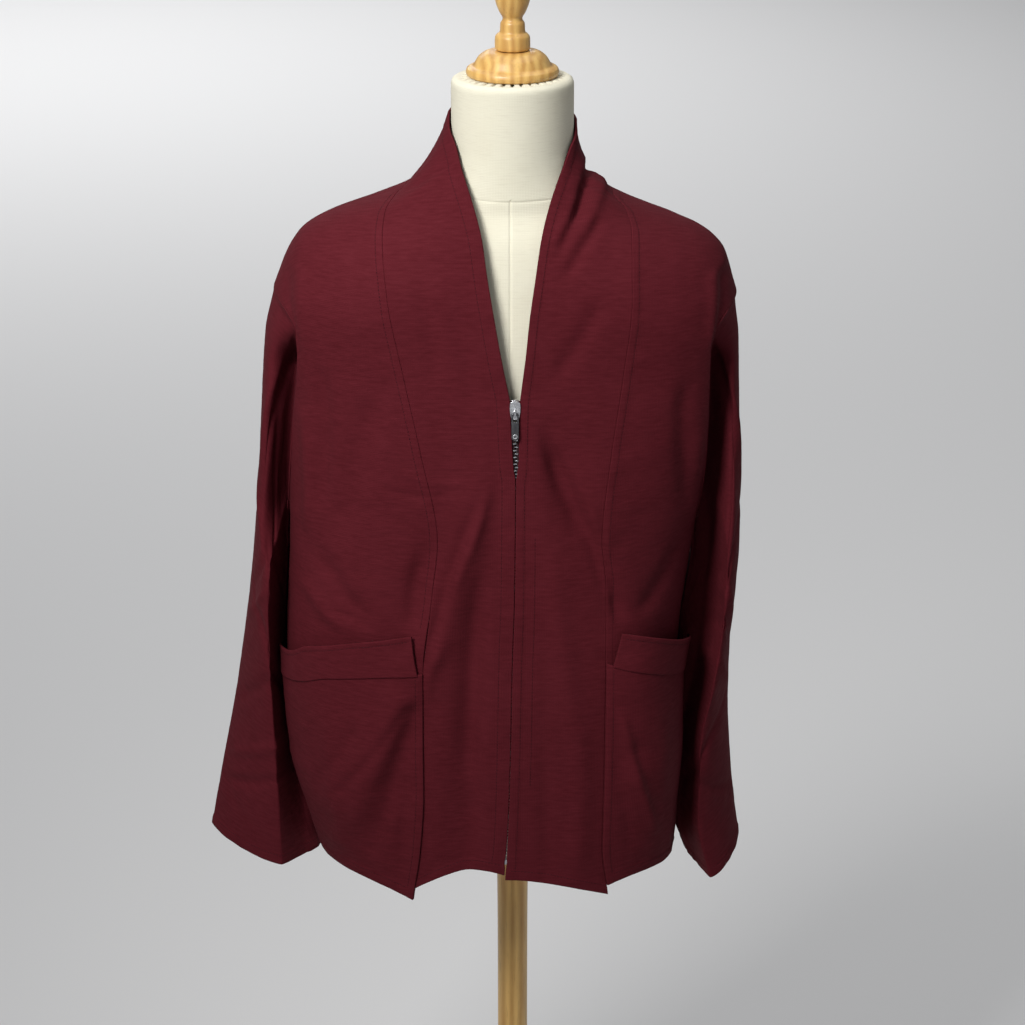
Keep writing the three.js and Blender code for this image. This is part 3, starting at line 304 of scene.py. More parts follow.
# Princess seams and armholes: height, and x on the right and left.
PRINCESS_SEAM = (
    (610, 102, 98),
    (642, 98, 95),
    (690, 91, 89),
    (755, 87, 90),
    (875, 87, 91),
    (955, 78, 91),
    (1010, 72, 86),
    (1100, 88, 95),
    (1170, 103, 105),
    (1245, 118, 113),
    (1300, 123, 113),
    (1315, 121, 108),
    (1326, 112, 96.4),
    (1332, 102.5, 96.4),
)
ARMHOLE = (
    (990, 222, 182),
    (1010, 221.3, 183.3),
    (1040, 219, 185.5),
    (1110, 213, 189),
    (1185, 206.5, 190),
    (1205, 207.5, 195),
    (1217, 215, 206),
    (1227, 226, 218),
    (1232, 232, 218),
)
# The zip's line and how far the front edges stand off it.
ZIP_LINE = (
    (660, -8, 0.4),
    (674, -7, 0.4),
    (680, -6.7, 1.1),
    (686, -6.2, 0.4),
    (715, -4.5, 0.08),
    (790, -2, 0.08),
    (890, 0, 0.08),
    (950, 2, 0.08),
    (1040, 3, 0.08),
    (1072, 3.2, 0.15),
    (1086, 3.2, 2.2),
    (1110, 2.8, 3.2),
    (1150, 2.4, 4.6),
)
# The open neckline: height, y, and x on the right and left.
NECKLINE = (
    (1150, -117, 2.2, 7),
    (1190, -114, 10.3, 12.2),
    (1230, -109, 17.4, 16.4),
    (1265, -99, 23.4, 21.5),
    (1300, -85, 28.8, 27),
    (1330, -68, 37.6, 35),
    (1358, -47, 48.2, 46.3),
    (1377, -31, 54.5, 54.5),
    (1391, -12, 60.8, 60.8),
    (1401, 6, 61.7, 61.7),
)
# Each panel's hem at its inner edge, its middle and its outer edge.
HEMS = {
    "front_right": (667, 670, 648),
    "front_left": (662, 656, 639),
    "side_front_right": (636, 654, 645),
    "side_front_left": (650, 653, 634),
}


def columns(table: Sequence[Sequence[float]]) -> list[Profile]:
    """A profile over the table's first column for each of its other columns."""
    at = [row[0] for row in table]
    return [Profile(at, [row[i] for row in table]) for i in range(1, len(table[0]))]


CREASE_STEPS = 16


@dataclass(frozen=True)
class Crease:
    """A soft trough (depth > 0) or ridge (depth < 0) along a bent line.

    Attributes:
        face: The face of the body that it is on.
        start: Its upper end, as (x, z).
        bend: The point that pulls its middle.
        end: Its lower end.
        width: Half its width, about.
        depth: How far it moves the cloth in.
        grows: The share of its line over which it grows.
    """

    face: Face
    start: tuple[float, float]
    bend: tuple[float, float]
    end: tuple[float, float]
    width: float
    depth: float
    grows: float = 0.35

    def offset(self, x: np.ndarray, z: np.ndarray) -> np.ndarray:
        """How far the crease moves each point of the face in.

        Args:
            x: Each point's X.
            z: Each point's height.

        Returns:
            The offset at each point.
        """
        t = np.linspace(0, 1, CREASE_STEPS + 1)[:, None]
        corners = (np.array(p, dtype=float) for p in (self.start, self.bend, self.end))
        first, middle, last = corners
        line = (1 - t) ** 2 * first + 2 * t * (1 - t) * middle + t * t * last
        nearest = np.full(x.shape, np.inf)
        place = np.zeros(x.shape)
        for i in range(CREASE_STEPS):
            a, step = line[i], line[i + 1] - line[i]
            share = ((x - a[0]) * step[0] + (z - a[1]) * step[1]) / (step @ step)
            share = np.clip(share, 0, 1)
            away = np.hypot(x - a[0] - share * step[0], z - a[1] - share * step[1])
            closer = away < nearest
            nearest = np.where(closer, away, nearest)
            place = np.where(closer, (i + share) / CREASE_STEPS, place)
        fade = smoothstep(place / self.grows) * smoothstep((1.15 - place) / 0.3)
        return self.depth * fade * bump(nearest, self.width)


# The folds that the frame's own panels have.
FOLDS = (
    Crease(Face.FRONT, (-10, 1112), (-45, 985), (-168, 728), 22, -9),
    Crease(Face.FRONT, (-52, 1060), (-88, 950), (-122, 770), 24, 8),
    Crease(Face.FRONT, (-27, 1010), (-46, 860), (-42, 660), 20, 7),
    Crease(Face.FRONT, (22, 1146), (54, 1070), (112, 905), 22, 9),
    Crease(Face.FRONT, (66, 1120), (86, 1000), (150, 760), 24, -6),
    Crease(Face.FRONT, (112, 800), (130, 740), (150, 660), 18, -6),
    Crease(Face.BACK, (-120, 1170), (-100, 930), (-112, 655), 30, 9),
    Crease(Face.BACK, (-40, 1090), (-52, 880), (-36, 655), 28, -8),
    Crease(Face.BACK, (60, 1120), (40, 900), (62, 655), 30, 8),
    Crease(Face.BACK, (128, 1140), (112, 930), (126, 655), 26, -7),
)
# Narrower creases between them.
CREASES = (
    Crease(Face.FRONT, (-20, 1080), (-62, 985), (-96, 862), 8, 3.6),
    Crease(Face.FRONT, (-8, 1092), (-30, 1040), (-58, 965), 6, -2.8, 0.2),
    Crease(Face.FRONT, (-60, 930), (-92, 868), (-104, 800), 8, -3.0),
    Crease(Face.FRONT, (-22, 1000), (-40, 900), (-44, 780), 11, 3.0),
    Crease(Face.FRONT, (-84, 1010), (-100, 960), (-96, 900), 7, 2.4),
    Crease(Face.FRONT, (-90, 850), (-128, 790), (-176, 742), 6, 1.8),
    Crease(Face.FRONT, (-118, 800), (-138, 742), (-150, 668), 9, -2.4),
    Crease(Face.FRONT, (-98, 770), (-112, 722), (-116, 664), 9, 2.6),
    Crease(Face.FRONT, (-14, 860), (-17, 760), (-20, 690), 6, -2.2),
    Crease(Face.FRONT, (-30, 800), (-34, 730), (-26, 676), 9, 2.4),
    Crease(Face.FRONT, (16, 1132), (42, 1086), (64, 1022), 8, 3.2, 0.15),
    Crease(Face.FRONT, (60, 1050), (84, 985), (104, 930), 7, 2.6),
    Crease(Face.FRONT, (34, 1130), (66, 1072), (92, 1004), 9, -2.4, 0.2),
    Crease(Face.FRONT, (-215, 1264), (-221, 1235), (-213, 1200), 8, 1.8, 0.3),
    Crease(Face.FRONT, (-200, 1268), (-203, 1235), (-200, 1194), 8, -1.2, 0.3),
    Crease(Face.FRONT, (203, 1262), (208, 1232), (199, 1196), 7, 2.8, 0.2),
    Crease(Face.FRONT, (191, 1262), (194, 1232), (189, 1192), 6, -1.6, 0.2),
    Crease(Face.FRONT, (30, 1020), (48, 930), (58, 820), 12, -2.0),
    Crease(Face.FRONT, (20, 900), (30, 790), (34, 664), 10, 1.8),
    Crease(Face.FRONT, (62, 860), (70, 760), (64, 662), 12, -2.2),
    Crease(Face.FRONT, (108, 806), (124, 762), (142, 704), 4.5, -3.0, 0.2),
    Crease(Face.FRONT, (118, 800), (136, 760), (156, 716), 7, 2.6, 0.2),
    Crease(Face.FRONT, (-120, 1180), (-150, 1105), (-165, 1010), 14, 2.6),
    Crease(Face.FRONT, (-186, 1190), (-176, 1120), (-186, 1040), 9, 2.6),
    Crease(Face.FRONT, (-205, 1140), (-194, 1070), (-200, 1010), 7, -2.4),
    Crease(Face.FRONT, (-196, 1000), (-170, 952), (-146, 930), 10, 2.4),
    Crease(Face.FRONT, (-212, 960), (-184, 925), (-160, 908), 8, -2.0),
    Crease(Face.FRONT, (168, 1180), (160, 1110), (172, 1040), 10, 2.6),
    Crease(Face.FRONT, (182, 1120), (176, 1060), (180, 1010), 7, -2.2),
    Crease(Face.FRONT, (172, 1010), (150, 960), (128, 936), 9, 2.2),
    Crease(Face.FRONT, (78, 1350), (60, 1322), (45, 1288), 5, 2.6, 0.25),
    Crease(Face.FRONT, (68, 1340), (54, 1318), (42, 1300), 4.5, -1.8, 0.25),
    Crease(Face.FRONT, (84, 1362), (72, 1349), (60, 1316), 5, 4.0, 0.1),
    Crease(Face.FRONT, (97, 1349), (84, 1336), (70, 1304), 5.5, -1.6, 0.1),
    Crease(Face.FRONT, (-168, 906), (-182, 893), (-200, 888), 2.6, 1.1, 0.2),
    Crease(Face.FRONT, (-172, 896), (-184, 884), (-204, 880), 2.6, -1.1, 0.2),
    Crease(Face.FRONT, (-150, 912), (-172, 902), (-192, 902), 3.0, -1.0, 0.2),
    Crease(Face.FRONT, (-132, 914), (-150, 926), (-176, 930), 3.4, 1.1, 0.2),
    Crease(Face.FRONT, (-60, 1058), (-92, 1052), (-120, 1060), 3.6, 0.9, 0.2),
    Crease(Face.FRONT, (-40, 1072), (-70, 1064), (-104, 1076), 3.6, -0.8, 0.2),
    Crease(Face.BACK, (84, 1362), (72, 1349), (62, 1332), 5, 4.0, 0.1),
    Crease(Face.BACK, (97, 1349), (84, 1336), (74, 1320), 5.5, -1.6, 0.1),
    Crease(Face.FRONT, (86, 1316), (68, 1294), (52, 1268), 6, 2.4, 0.25),
    Crease(Face.FRONT, (88, 1250), (66, 1208), (44, 1176), 9, 1.8, 0.25),
    Crease(Face.FRONT, (-90, 1290), (-80, 1240), (-72, 1180), 10, 1.6),
    Crease(Face.FRONT, (-60, 1250), (-48, 1200), (-34, 1150), 9, 1.4),
    Crease(Face.BACK, (-190, 1190), (-176, 1110), (-182, 1020), 10, 3.0),
    Crease(Face.BACK, (176, 1190), (162, 1110), (170, 1020), 10, 3.0),
    Crease(Face.BACK, (-150, 1010), (-120, 960), (-70, 948), 10, 2.4),
    Crease(Face.BACK, (146, 1000), (110, 952), (66, 946), 10, 2.4),
    Crease(Face.BACK, (-8, 1180), (-4, 1040), (6, 900), 16, 2.6),
    Crease(Face.BACK, (-86, 880), (-80, 770), (-84, 660), 11, -3.0),
    Crease(Face.BACK, (14, 900), (18, 780), (12, 660), 12, 3.0),
    Crease(Face.BACK, (92, 880), (96, 780), (90, 660), 10, -2.8),
    Crease(Face.BACK, (-60, 1310), (-40, 1296), (0, 1292), 9, 1.6),
    Crease(Face.BACK, (70, 1300), (44, 1288), (4, 1284), 8, 1.4),
)




# ------------------------------------------------------------------------ body's surface


class Garment:
    """The jacket's outer surface, worked out from the tables above."""

    def __init__(self) -> None:
        """Make the profiles of every table."""
        right, left, self.front_depth, self.back_depth = columns(BODY_SECTIONS)
        self.reach = {Side.RIGHT: right, Side.LEFT: left}
        self.princess = dict(zip(Side, columns(PRINCESS_SEAM)))
        self.armhole = dict(zip(Side, columns(ARMHOLE)))
        self.zip_x, self.zip_stand = columns(ZIP_LINE)
        count = len(NECKLINE) - 1
        rows = [(i / count, *row) for i, row in enumerate(NECKLINE)]
        neck_z, neck_y, neck_right, neck_left = columns(rows)
        self.neckline = {"z": neck_z, "y": neck_y, Side.RIGHT: neck_right, Side.LEFT: neck_left}
        self.shoulder = {side: columns(cut.shoulder)[0] for side, cut in CUTS.items()}

    def fold(
        self, face: Face, x: np.ndarray, z: np.ndarray, creases: Sequence[Crease] = FOLDS
    ) -> np.ndarray:
        """How far the given creases of one face move each point in.

        Args:
            face: The face of the body.
            x: Each point's X.
            z: Each point's height.
            creases: The folds or creases to add up.

        Returns:
            The sum of their offsets, faded out beside the zip.
        """
        total = np.zeros(np.broadcast(x, z).shape)
        x, z = np.broadcast_to(x, total.shape), np.broadcast_to(z, total.shape)
        for crease in creases:
            if crease.face is face:
                total = total + crease.offset(x, z)
        if face is Face.BACK:
            return total
        return total * smoothstep((np.abs(x - self.zip_x(z)) - 16) / 26)

    def point(self, side: Side, face: Face, x: Values, z: Values) -> np.ndarray:
        """Points of the body's surface.

        Args:
            side: The side that the points are on.
            face: The front or the back.
            x: How far out each point is from the centre.
            z: Each point's height.

        Returns:
            An array whose last axis is X, Y and Z.
        """
        out = np.abs(x)
        share = np.minimum(1, out / self.reach[side](z))
        rounding = (1 - share**SECTION_POWER) ** (1 / SECTION_POWER)
        below = np.clip((self.shoulder[side](out) - z) / CAP_HEIGHT, 0, 1)
        cap = np.sqrt(1 - (1 - below) ** 2)
        depth = self.front_depth(z) if face is Face.FRONT else self.back_depth(z)
        fade = np.minimum(1, 3 * rounding) * cap
        fold = self.fold(face, side.value * x, z) * fade
        y = face.value * (depth * rounding * cap - fold)
        return np.stack(np.broadcast_arrays(side.value * x, y, z), axis=-1)

    def zip_edge(self, side: Side, z: Values) -> np.ndarray:
        """How far out the front's zip edge lies on its side."""
        return side.value * self.zip_x(z) + self.zip_stand(z)

    def neck_point(self, side: Side) -> float:
        """How far out the shoulder line meets the neck."""
        return NECK_POINT_SHARE * CUTS[side].shoulder_reach

    def back_top(self, side: Side, x: Values) -> np.ndarray:
        """The height of the back's top edge: the collar seam, and then the shoulder."""
        neck = self.neck_point(side)
        ridge = self.shoulder[side]
        seam = lerp(BACK_NECK, ridge(neck), (np.minimum(x, neck) / neck) ** 2)
        return np.where(x >= neck, ridge(x), seam)

    def neckline_point(self, side: Side, t: float) -> np.ndarray:
        """A point of the open neckline, from the zip's top (0) to the side of the neck."""
        x = side.value * self.neckline[side](t)
        z = self.neckline["z"](t) - CUTS[side].collar_dip * t * t
        return np.array([x, self.neckline["y"](t), z])

    def collar_top(self, side: Side, t: float) -> np.ndarray:
        """A point of the collar's top edge, from its side (0) to the centre back."""
        start = self.neckline_point(side, 1.0)
        angle = lerp(math.atan2(start[1], abs(start[0])), math.pi / 2, t)
        x = side.value * COLLAR_RADIUS * math.cos(angle)
        z = lerp(start[2], COLLAR_BACK_TOP, t)
        return np.array([x, COLLAR_RADIUS * math.sin(angle), z])


SURFACE = Garment()


def rise_at(step: float) -> float:
    """How far up the yoke a step is, from 0 at the underarm to 1 at the shoulder."""
    return math.sin(math.radians(np.interp(step, range(YOKE_STEPS + 1), YOKE_ANGLES)))


def spread(share: np.ndarray, climb: float) -> np.ndarray:
    """Columns that crowd towards the side seam below the arm, and are even above it."""
    return lerp(np.sin(share * math.pi / 2), share, float(smoothstep(climb)))


def hem_height(hem: tuple[float, float, float], share: np.ndarray) -> np.ndarray:
    """The hem's height at each share of the panel's width."""
    inner, middle, outer = hem
    bow = middle - (inner + outer) / 2
    return lerp(inner, outer, share) + bow * 4 * share * (1 - share)


BODY_ROWS = 120
YOKE_ROWS = 110
NECK_ROWS = 40
SHARES = np.linspace(0, 1, 97)


def side_front_grid(side: Side) -> np.ndarray:
    """A side front's surface, from the hem up and from the princess seam outwards.

    Args:
        side: The side that it is on.

    Returns:
        The grid, as rows of columns.
    """
    hem = hem_height(HEMS[f"side_front_{side.key}"], SHARES)
    seam, reach = SURFACE.princess[side], SURFACE.reach[side]
    rows = []
    for t in np.linspace(0, 1, BODY_ROWS):
        z = lerp(hem, UNDERARM, t)
        x = lerp(seam(z), reach(z), spread(SHARES, 0))
        rows.append(SURFACE.point(side, Face.FRONT, x, z))
    ridge, neck = SURFACE.shoulder[side], SURFACE.neck_point(side)
    tip = CUTS[side].shoulder_reach
    top = ridge(lerp(neck, tip, SHARES))
    for step in np.linspace(0, YOKE_STEPS, YOKE_ROWS)[1:]:
        rise = rise_at(step)
        inner_z, outer_z = lerp(UNDERARM, ridge(neck), rise), lerp(UNDERARM, ridge(tip), rise)
        last = float(smoothstep(step - YOKE_STEPS + 1))
        inner = lerp(float(seam(inner_z)), neck, last)
        x = lerp(inner, SURFACE.armhole[side](outer_z), spread(SHARES, step / YOKE_STEPS))
        rows.append(SURFACE.point(side, Face.FRONT, x, lerp(UNDERARM, top, rise)))
    return np.array(rows)


def back_half_grid(side: Side) -> np.ndarray:
    """Half of the back's surface, from the hem up and from the centre outwards.

    Args:
        side: The side that it is on.

    Returns:
        The grid, as rows of columns.
    """
    outer = HEMS[f"side_front_{side.key}"][2]
    hem = hem_height((BACK_HEM, (BACK_HEM + outer) / 2, outer), SHARES)
    rows = []
    for t in np.linspace(0, 1, BODY_ROWS):
        z = lerp(hem, UNDERARM, t)
        x = SURFACE.reach[side](z) * spread(SHARES, 0)
        rows.append(SURFACE.point(side, Face.BACK, x, z))
    tip = CUTS[side].shoulder_reach
    top = SURFACE.back_top(side, SHARES * tip)
    for step in np.linspace(0, YOKE_STEPS, YOKE_ROWS)[1:]:
        rise = rise_at(step)
        outer_z = lerp(UNDERARM, float(SURFACE.shoulder[side](tip)), rise)
        x = SURFACE.armhole[side](outer_z) * spread(SHARES, step / YOKE_STEPS)
        rows.append(SURFACE.point(side, Face.BACK, x, lerp(UNDERARM, top, rise)))
    return np.array(rows)


def standing_row(
    side: Side, edge: np.ndarray, seam: np.ndarray, bow_share: float, hollow: float
) -> np.ndarray:
    """A row of cloth from a free edge to a seam.

    Args:
        side: The side that it is on.
        edge: The free edge's point.
        seam: The seam's point.
        bow_share: How much of the body's own bow it has between them.
        hollow: How far its middle curves in towards the neck.

    Returns:
        The row's points.
    """
    line = lerp(edge, seam, SHARES[:, None])
    on_body = SURFACE.point(side, Face.FRONT, side.value * line[:, 0], line[:, 2])[:, 1]
    bow = on_body - lerp(on_body[0], on_body[-1], SHARES)
    line[:, 1] += bow * bow_share
    radial = unit(line * np.array([1, 1, 0]))
    return line - radial * (hollow * 4 * SHARES * (1 - SHARES))[:, None]


def front_grid(side: Side, side_front: np.ndarray, back_half: np.ndarray) -> np.ndarray:
    """A centre front with its collar, from the hem to the centre back of the neck.

    Args:
        side: The side that it is on.
        side_front: The side front's grid, whose first column is the princess seam.
        back_half: The back's half, whose last row is the collar seam.

    Returns:
        The grid, from the free edge outwards.
    """
    hem = hem_height(HEMS[f"front_{side.key}"], SHARES)
    seam = SURFACE.princess[side]
    rows = []
    for t in np.linspace(0, 1, BODY_ROWS):
        z = lerp(hem, UNDERARM, t)
        x = lerp(SURFACE.zip_edge(side, z), seam(z), SHARES)
        rows.append(SURFACE.point(side, Face.FRONT, x, z))
    steps = np.linspace(0, YOKE_STEPS, YOKE_ROWS)[1:]
    for step, outer in zip(steps, side_front[BODY_ROWS:, 0]):
        if step <= ZIP_TOP_STEP:
            edge_z = lerp(UNDERARM, ZIP_TOP, rise_at(step) / rise_at(ZIP_TOP_STEP))
            z = lerp(edge_z, outer[2], SHARES)
            x = lerp(SURFACE.zip_edge(side, edge_z), side.value * outer[0], SHARES)
            rows.append(SURFACE.point(side, Face.FRONT, x, z))
            continue
        t = (step - ZIP_TOP_STEP) / (YOKE_STEPS - ZIP_TOP_STEP)
        ease = float(smoothstep((t - HOLLOW_START) / (1 - HOLLOW_START)))
        hollow = CUTS[side].collar_hollow * ease
        rows.append(standing_row(side, SURFACE.neckline_point(side, t), outer, 1 - t, hollow))
    neck_columns = SHARES * CUTS[side].shoulder_reach
    top = back_half[-1]
    for t in np.linspace(0, 1, NECK_ROWS)[1:]:
        at = SURFACE.neck_point(side) * (1 - t)
        seam_point = np.array([np.interp(at, neck_columns, top[:, k]) for k in range(3)])
        hollow = CUTS[side].collar_hollow * (1 - t)
        rows.append(standing_row(side, SURFACE.collar_top(side, t), seam_point, 0, hollow))
    return np.array(rows)


# How a sleeve leaves its armhole, as in the frame: its first row's clearance, how its
# columns even out, how the armhole's shape fades, and where it is kept off the body.
UNDERARM_GAP = 1.5
SLEEVE_CLEARANCE = 2.0
SLEEVE_POWER = 1.25
SLEEVE_ROWS = 150
# How a sleeve falls in between its foremost line and the body, and behind the body.
SLEEVE_HOLLOW = 0.86
ARMHOLE_HOLLOW = 0.86
SLEEVE_BEHIND = 12.0
# Shares of the sleeve's length: where its back starts to swing in and over what length it
# does, over what length the armhole's shape fades and its columns even out, over what
# length the hollow starts, and where it eases again towards the cuff, and by how much.
BEHIND_FROM, BEHIND_OVER = 0.1, 0.3
HOLD_OVER, HOLD_POWER = 0.4, 1.5
EVEN_OVER = 0.5
HOLLOW_OVER = 0.035
CUFF_FROM, CUFF_OVER, CUFF_EASE = 0.72, 0.28, 0.55
# The heights over which the first row leaves the body, up from the underarm.
UNDERARM_RISE, UNDERARM_FADE = 130.0, 60.0
# Where the hollow starts round the sleeve and beside the body, each with its width.
INWARD_FROM, INWARD_OVER = 0.235, 0.12
BESIDE_FROM, BESIDE_OVER = 2.0, 36.0
# The hollow beside the armhole fades in under one height and out over another.
HOLLOW_TOP, HOLLOW_TOP_OVER = 1208.0, 50.0
HOLLOW_FOOT, HOLLOW_FOOT_OVER = 940.0, 80.0
# The sleeve is free of the body above this height, and held off it below.
HELD_UNDER, HELD_OVER = 1180.0, 130.0


def sleeve_grid(side: Side, side_front: np.ndarray, back_half: np.ndarray) -> np.ndarray:
    """A sleeve's surface, from the armhole to the cuff and once round.

    Args:
        side: The side that it is on.
        side_front: The side front's grid, whose last column holds the armhole's front.
        back_half: The back's half, whose last column holds the armhole's back.

    Returns:
        The grid, whose columns start at the top of the shoulder and run down the front.
    """
    front = side_front[BODY_ROWS - 1 :, -1][::-1]
    back = back_half[BODY_ROWS - 1 :, -1][1:-1]
    loop = np.concatenate([front, back])
    count, half = len(loop), len(loop) // 2
    index = np.arange(count)
    steps = np.where(index <= half, half - index, index - half)
    rises = np.array([rise_at(s * YOKE_STEPS / half) for s in steps])
    opening = np.arccos(np.clip(2 * rises - 1, -1, 1))
    first = np.where(index <= half, opening, 2 * math.pi - opening)
    table = CUTS[side].sleeve
    rows = [(i / (len(table) - 1), *row) for i, row in enumerate(table)]
    outer, top, inner, low, ahead, behind, fold, dip = columns(rows)

    def turned_at(t: float) -> np.ndarray:
        """Each column's angle round the sleeve, at a share of its length."""
        even = float(smoothstep(t / EVEN_OVER))
        return lerp(first, 2 * math.pi * index / count, even)

    def section(t: float) -> np.ndarray:
        """The sleeve's section at a share of its length, from the table's row there."""
        angle = turned_at(t)
        along = signed_power(np.cos(angle), SLEEVE_POWER)
        forward = signed_power(np.sin(angle), SLEEVE_POWER)
        swing = SLEEVE_BEHIND * float(smoothstep((t - BEHIND_FROM) / BEHIND_OVER))
        middle = (outer(t) + inner(t)) / 2
        x = lerp(inner(t), outer(t), (along + 1) / 2)
        x = x + np.maximum(0, forward) * (fold(t) - middle)
        x = x - np.maximum(0, -forward) * swing
        z = lerp(low(t), top(t), (along + 1) / 2) - dip(t) * forward
        y = np.where(forward > 0, ahead(t) * forward, -behind(t) * forward)
        return np.stack([side.value * x, y, z], axis=-1)

    grid = []
    for t in np.linspace(0, 1, SLEEVE_ROWS):
        hold = (1 - float(smoothstep(t / HOLD_OVER))) ** HOLD_POWER
        row = section(t) + (loop - section(0.0)) * hold
        starting = float(smoothstep(t / HOLLOW_OVER))
        recess = recessed(side, row, turned_at(t) / (2 * math.pi)) * starting
        recess = recess * (1 - CUFF_EASE * float(smoothstep((t - CUFF_FROM) / CUFF_OVER)))
        row[:, 1] *= np.where(row[:, 1] < 0, 1 - recess, 1)
        if t == 0:
            row = loop.copy()
            near = smoothstep((UNDERARM + UNDERARM_RISE - loop[:, 2]) / UNDERARM_FADE)
            row[:, 0] += side.value * UNDERARM_GAP * near
        grid.append(clear_of_body(side, row, SLEEVE_CLEARANCE if t > 0 else UNDERARM_GAP))
    return np.array(grid)


def recessed(side: Side, row: np.ndarray, turn: np.ndarray) -> np.ndarray:
    """How far the front of a sleeve falls in beside the body, from 0 to 1.

    Args:
        side: The side that it is on.
        row: The sleeve's points.
        turn: Each point's place round the sleeve, in turns from the outer edge.

    Returns:
        The share for each point.
    """
    x, z = side.value * row[:, 0], row[:, 2]
    inward = smoothstep((turn - INWARD_FROM) / INWARD_OVER)
    beside = 1 - smoothstep((x - SURFACE.armhole[side](z) - BESIDE_FROM) / BESIDE_OVER)
    upper = smoothstep((HOLLOW_TOP - z) / HOLLOW_TOP_OVER)
    upper = upper * smoothstep((z - HOLLOW_FOOT) / HOLLOW_FOOT_OVER)
    return np.maximum(SLEEVE_HOLLOW * inward, ARMHOLE_HOLLOW * beside * upper)


def clear_of_body(side: Side, row: np.ndarray, clearance: float) -> np.ndarray:
    """Move a sleeve's points out of the body's section, to a clearance from its side.

    Args:
        side: The side that it is on.
        row: The sleeve's points.
        clearance: The least distance from the body's side.

    Returns:
        The points, moved out where they have to be.
    """
    y, z = row[:, 1], row[:, 2]
    depth = np.where(y < 0, SURFACE.front_depth(z), SURFACE.back_depth(z))
    share = np.minimum(1, np.abs(y) / depth)
    reach = np.where(z > UNDERARM, SURFACE.armhole[side](z), SURFACE.reach[side](z))
    edge = reach * (1 - share**SECTION_POWER) ** (1 / SECTION_POWER)
    least = (edge + clearance) * smoothstep((HELD_UNDER - z) / HELD_OVER)
    out = np.maximum(side.value * row[:, 0], least)
    return np.stack([side.value * out, y, z], axis=-1)


# ------------------------------------------------------------------------- making meshes


class Edge(Enum):
    """How a panel's edge is made."""

    NONE = "none"
    SEAM = "seam"
    STITCHED_SEAM = "stitched seam"
    FREE = "free"
    LAPEL = "lapel"
    HEM = "hem"
    BAND = "band"


@dataclass(frozen=True)
class EdgeWork:
    """The shape of a panel's edge.

    Attributes:
        stations: How far in from the edge the mesh has its lines.
        roll: The radius over which the edge rounds away.
        stitch: How far in the topstitching lies, or None.
        raised: How much the layers between the edge and the stitching stand up.
    """

    stations: tuple[float, ...]
    roll: float
    stitch: float | None
    raised: float

    def offset(self, away: np.ndarray) -> np.ndarray:
        """How far the edge work moves the cloth out, at each distance from the edge."""
        inside = np.clip(self.roll - away, 0, self.roll)
        total = -(self.roll - np.sqrt(np.maximum(self.roll**2 - inside**2, 0)))
        if self.stitch is not None:
            total = total + self.raised * (1 - smoothstep((away - self.stitch - 0.4) / 1.2))
            total = total - 0.42 * bump(away - self.stitch, 0.75)
        return total


def stitched(at: float) -> tuple[float, ...]:
    """An edge's mesh lines: its roll, and the groove that its stitching lies in."""
    groove = (-1.7, -0.75, 0, 0.75, 1.7)
    return (*ROLL_STATIONS, *(at / 2,), *(at + d for d in groove), at + 4)


SEAM_LAP = 0.45
WEFT_LEVEL = 1150.0
ROLL_STATIONS = (0.08, 0.3, 0.8, 1.6, 3.0)
SEAM_STITCH = 7.4
HEM_STITCH = 10.0
EDGE_WORK = {
    Edge.NONE: EdgeWork((0, 6), 0.01, None, 0),
    Edge.SEAM: EdgeWork((0.05, 0.25, 0.6, 1.5, 3, 6), 0.5, None, 0),
    Edge.STITCHED_SEAM: EdgeWork(stitched(SEAM_STITCH), 0.5, SEAM_STITCH, 0.4),
    Edge.FREE: EdgeWork(stitched(9.0), 0.8, 9.0, 0.6),
    Edge.LAPEL: EdgeWork(stitched(13.0), 0.8, 13.0, 0.5),
    Edge.HEM: EdgeWork(stitched(HEM_STITCH), 0.8, HEM_STITCH, 0.6),
    Edge.BAND: EdgeWork((0.08, 0.3, 0.8, 1.6, 3.2, 4.2, 5, 5.8, 6.8, 9), 0.8, 5.0, 0.3),
}
FREE_EDGES = (Edge.FREE, Edge.LAPEL, Edge.HEM, Edge.BAND)


@dataclass(frozen=True)
class Pucker:
    """Small puckers along a folded edge: how deep and how far apart they are."""

    depth: float = 0.45
    spacing: float = 13.0


def arc_lengths(grid: np.ndarray, axis: int) -> np.ndarray:
    """The length along each line of a grid, from its start, at every point."""
    steps = np.linalg.norm(np.diff(grid, axis=axis), axis=-1)
    first = np.zeros_like(np.take(steps, [0], axis=axis))
    return np.cumsum(np.concatenate([first, steps], axis=axis), axis=axis)


def stations_along(length: float, start: EdgeWork, end: EdgeWork, count: int) -> np.ndarray:
    """Places along a line: its edges' own, and even ones between them.

    Args:
        length: The line's length.
        start: The edge at its start.
        end: The edge at its end.
        count: How many even steps lie between the edges' stations.

    Returns:
        The places, rising from 0 to the length.
    """
    squeeze = min(1.0, 0.46 * length / max(start.stations[-1], end.stations[-1]))
    low = np.array(start.stations) * squeeze
    high = length - np.array(end.stations[::-1]) * squeeze
    return np.concatenate([low, np.linspace(low[-1], high[0], count + 1)[1:-1], high])


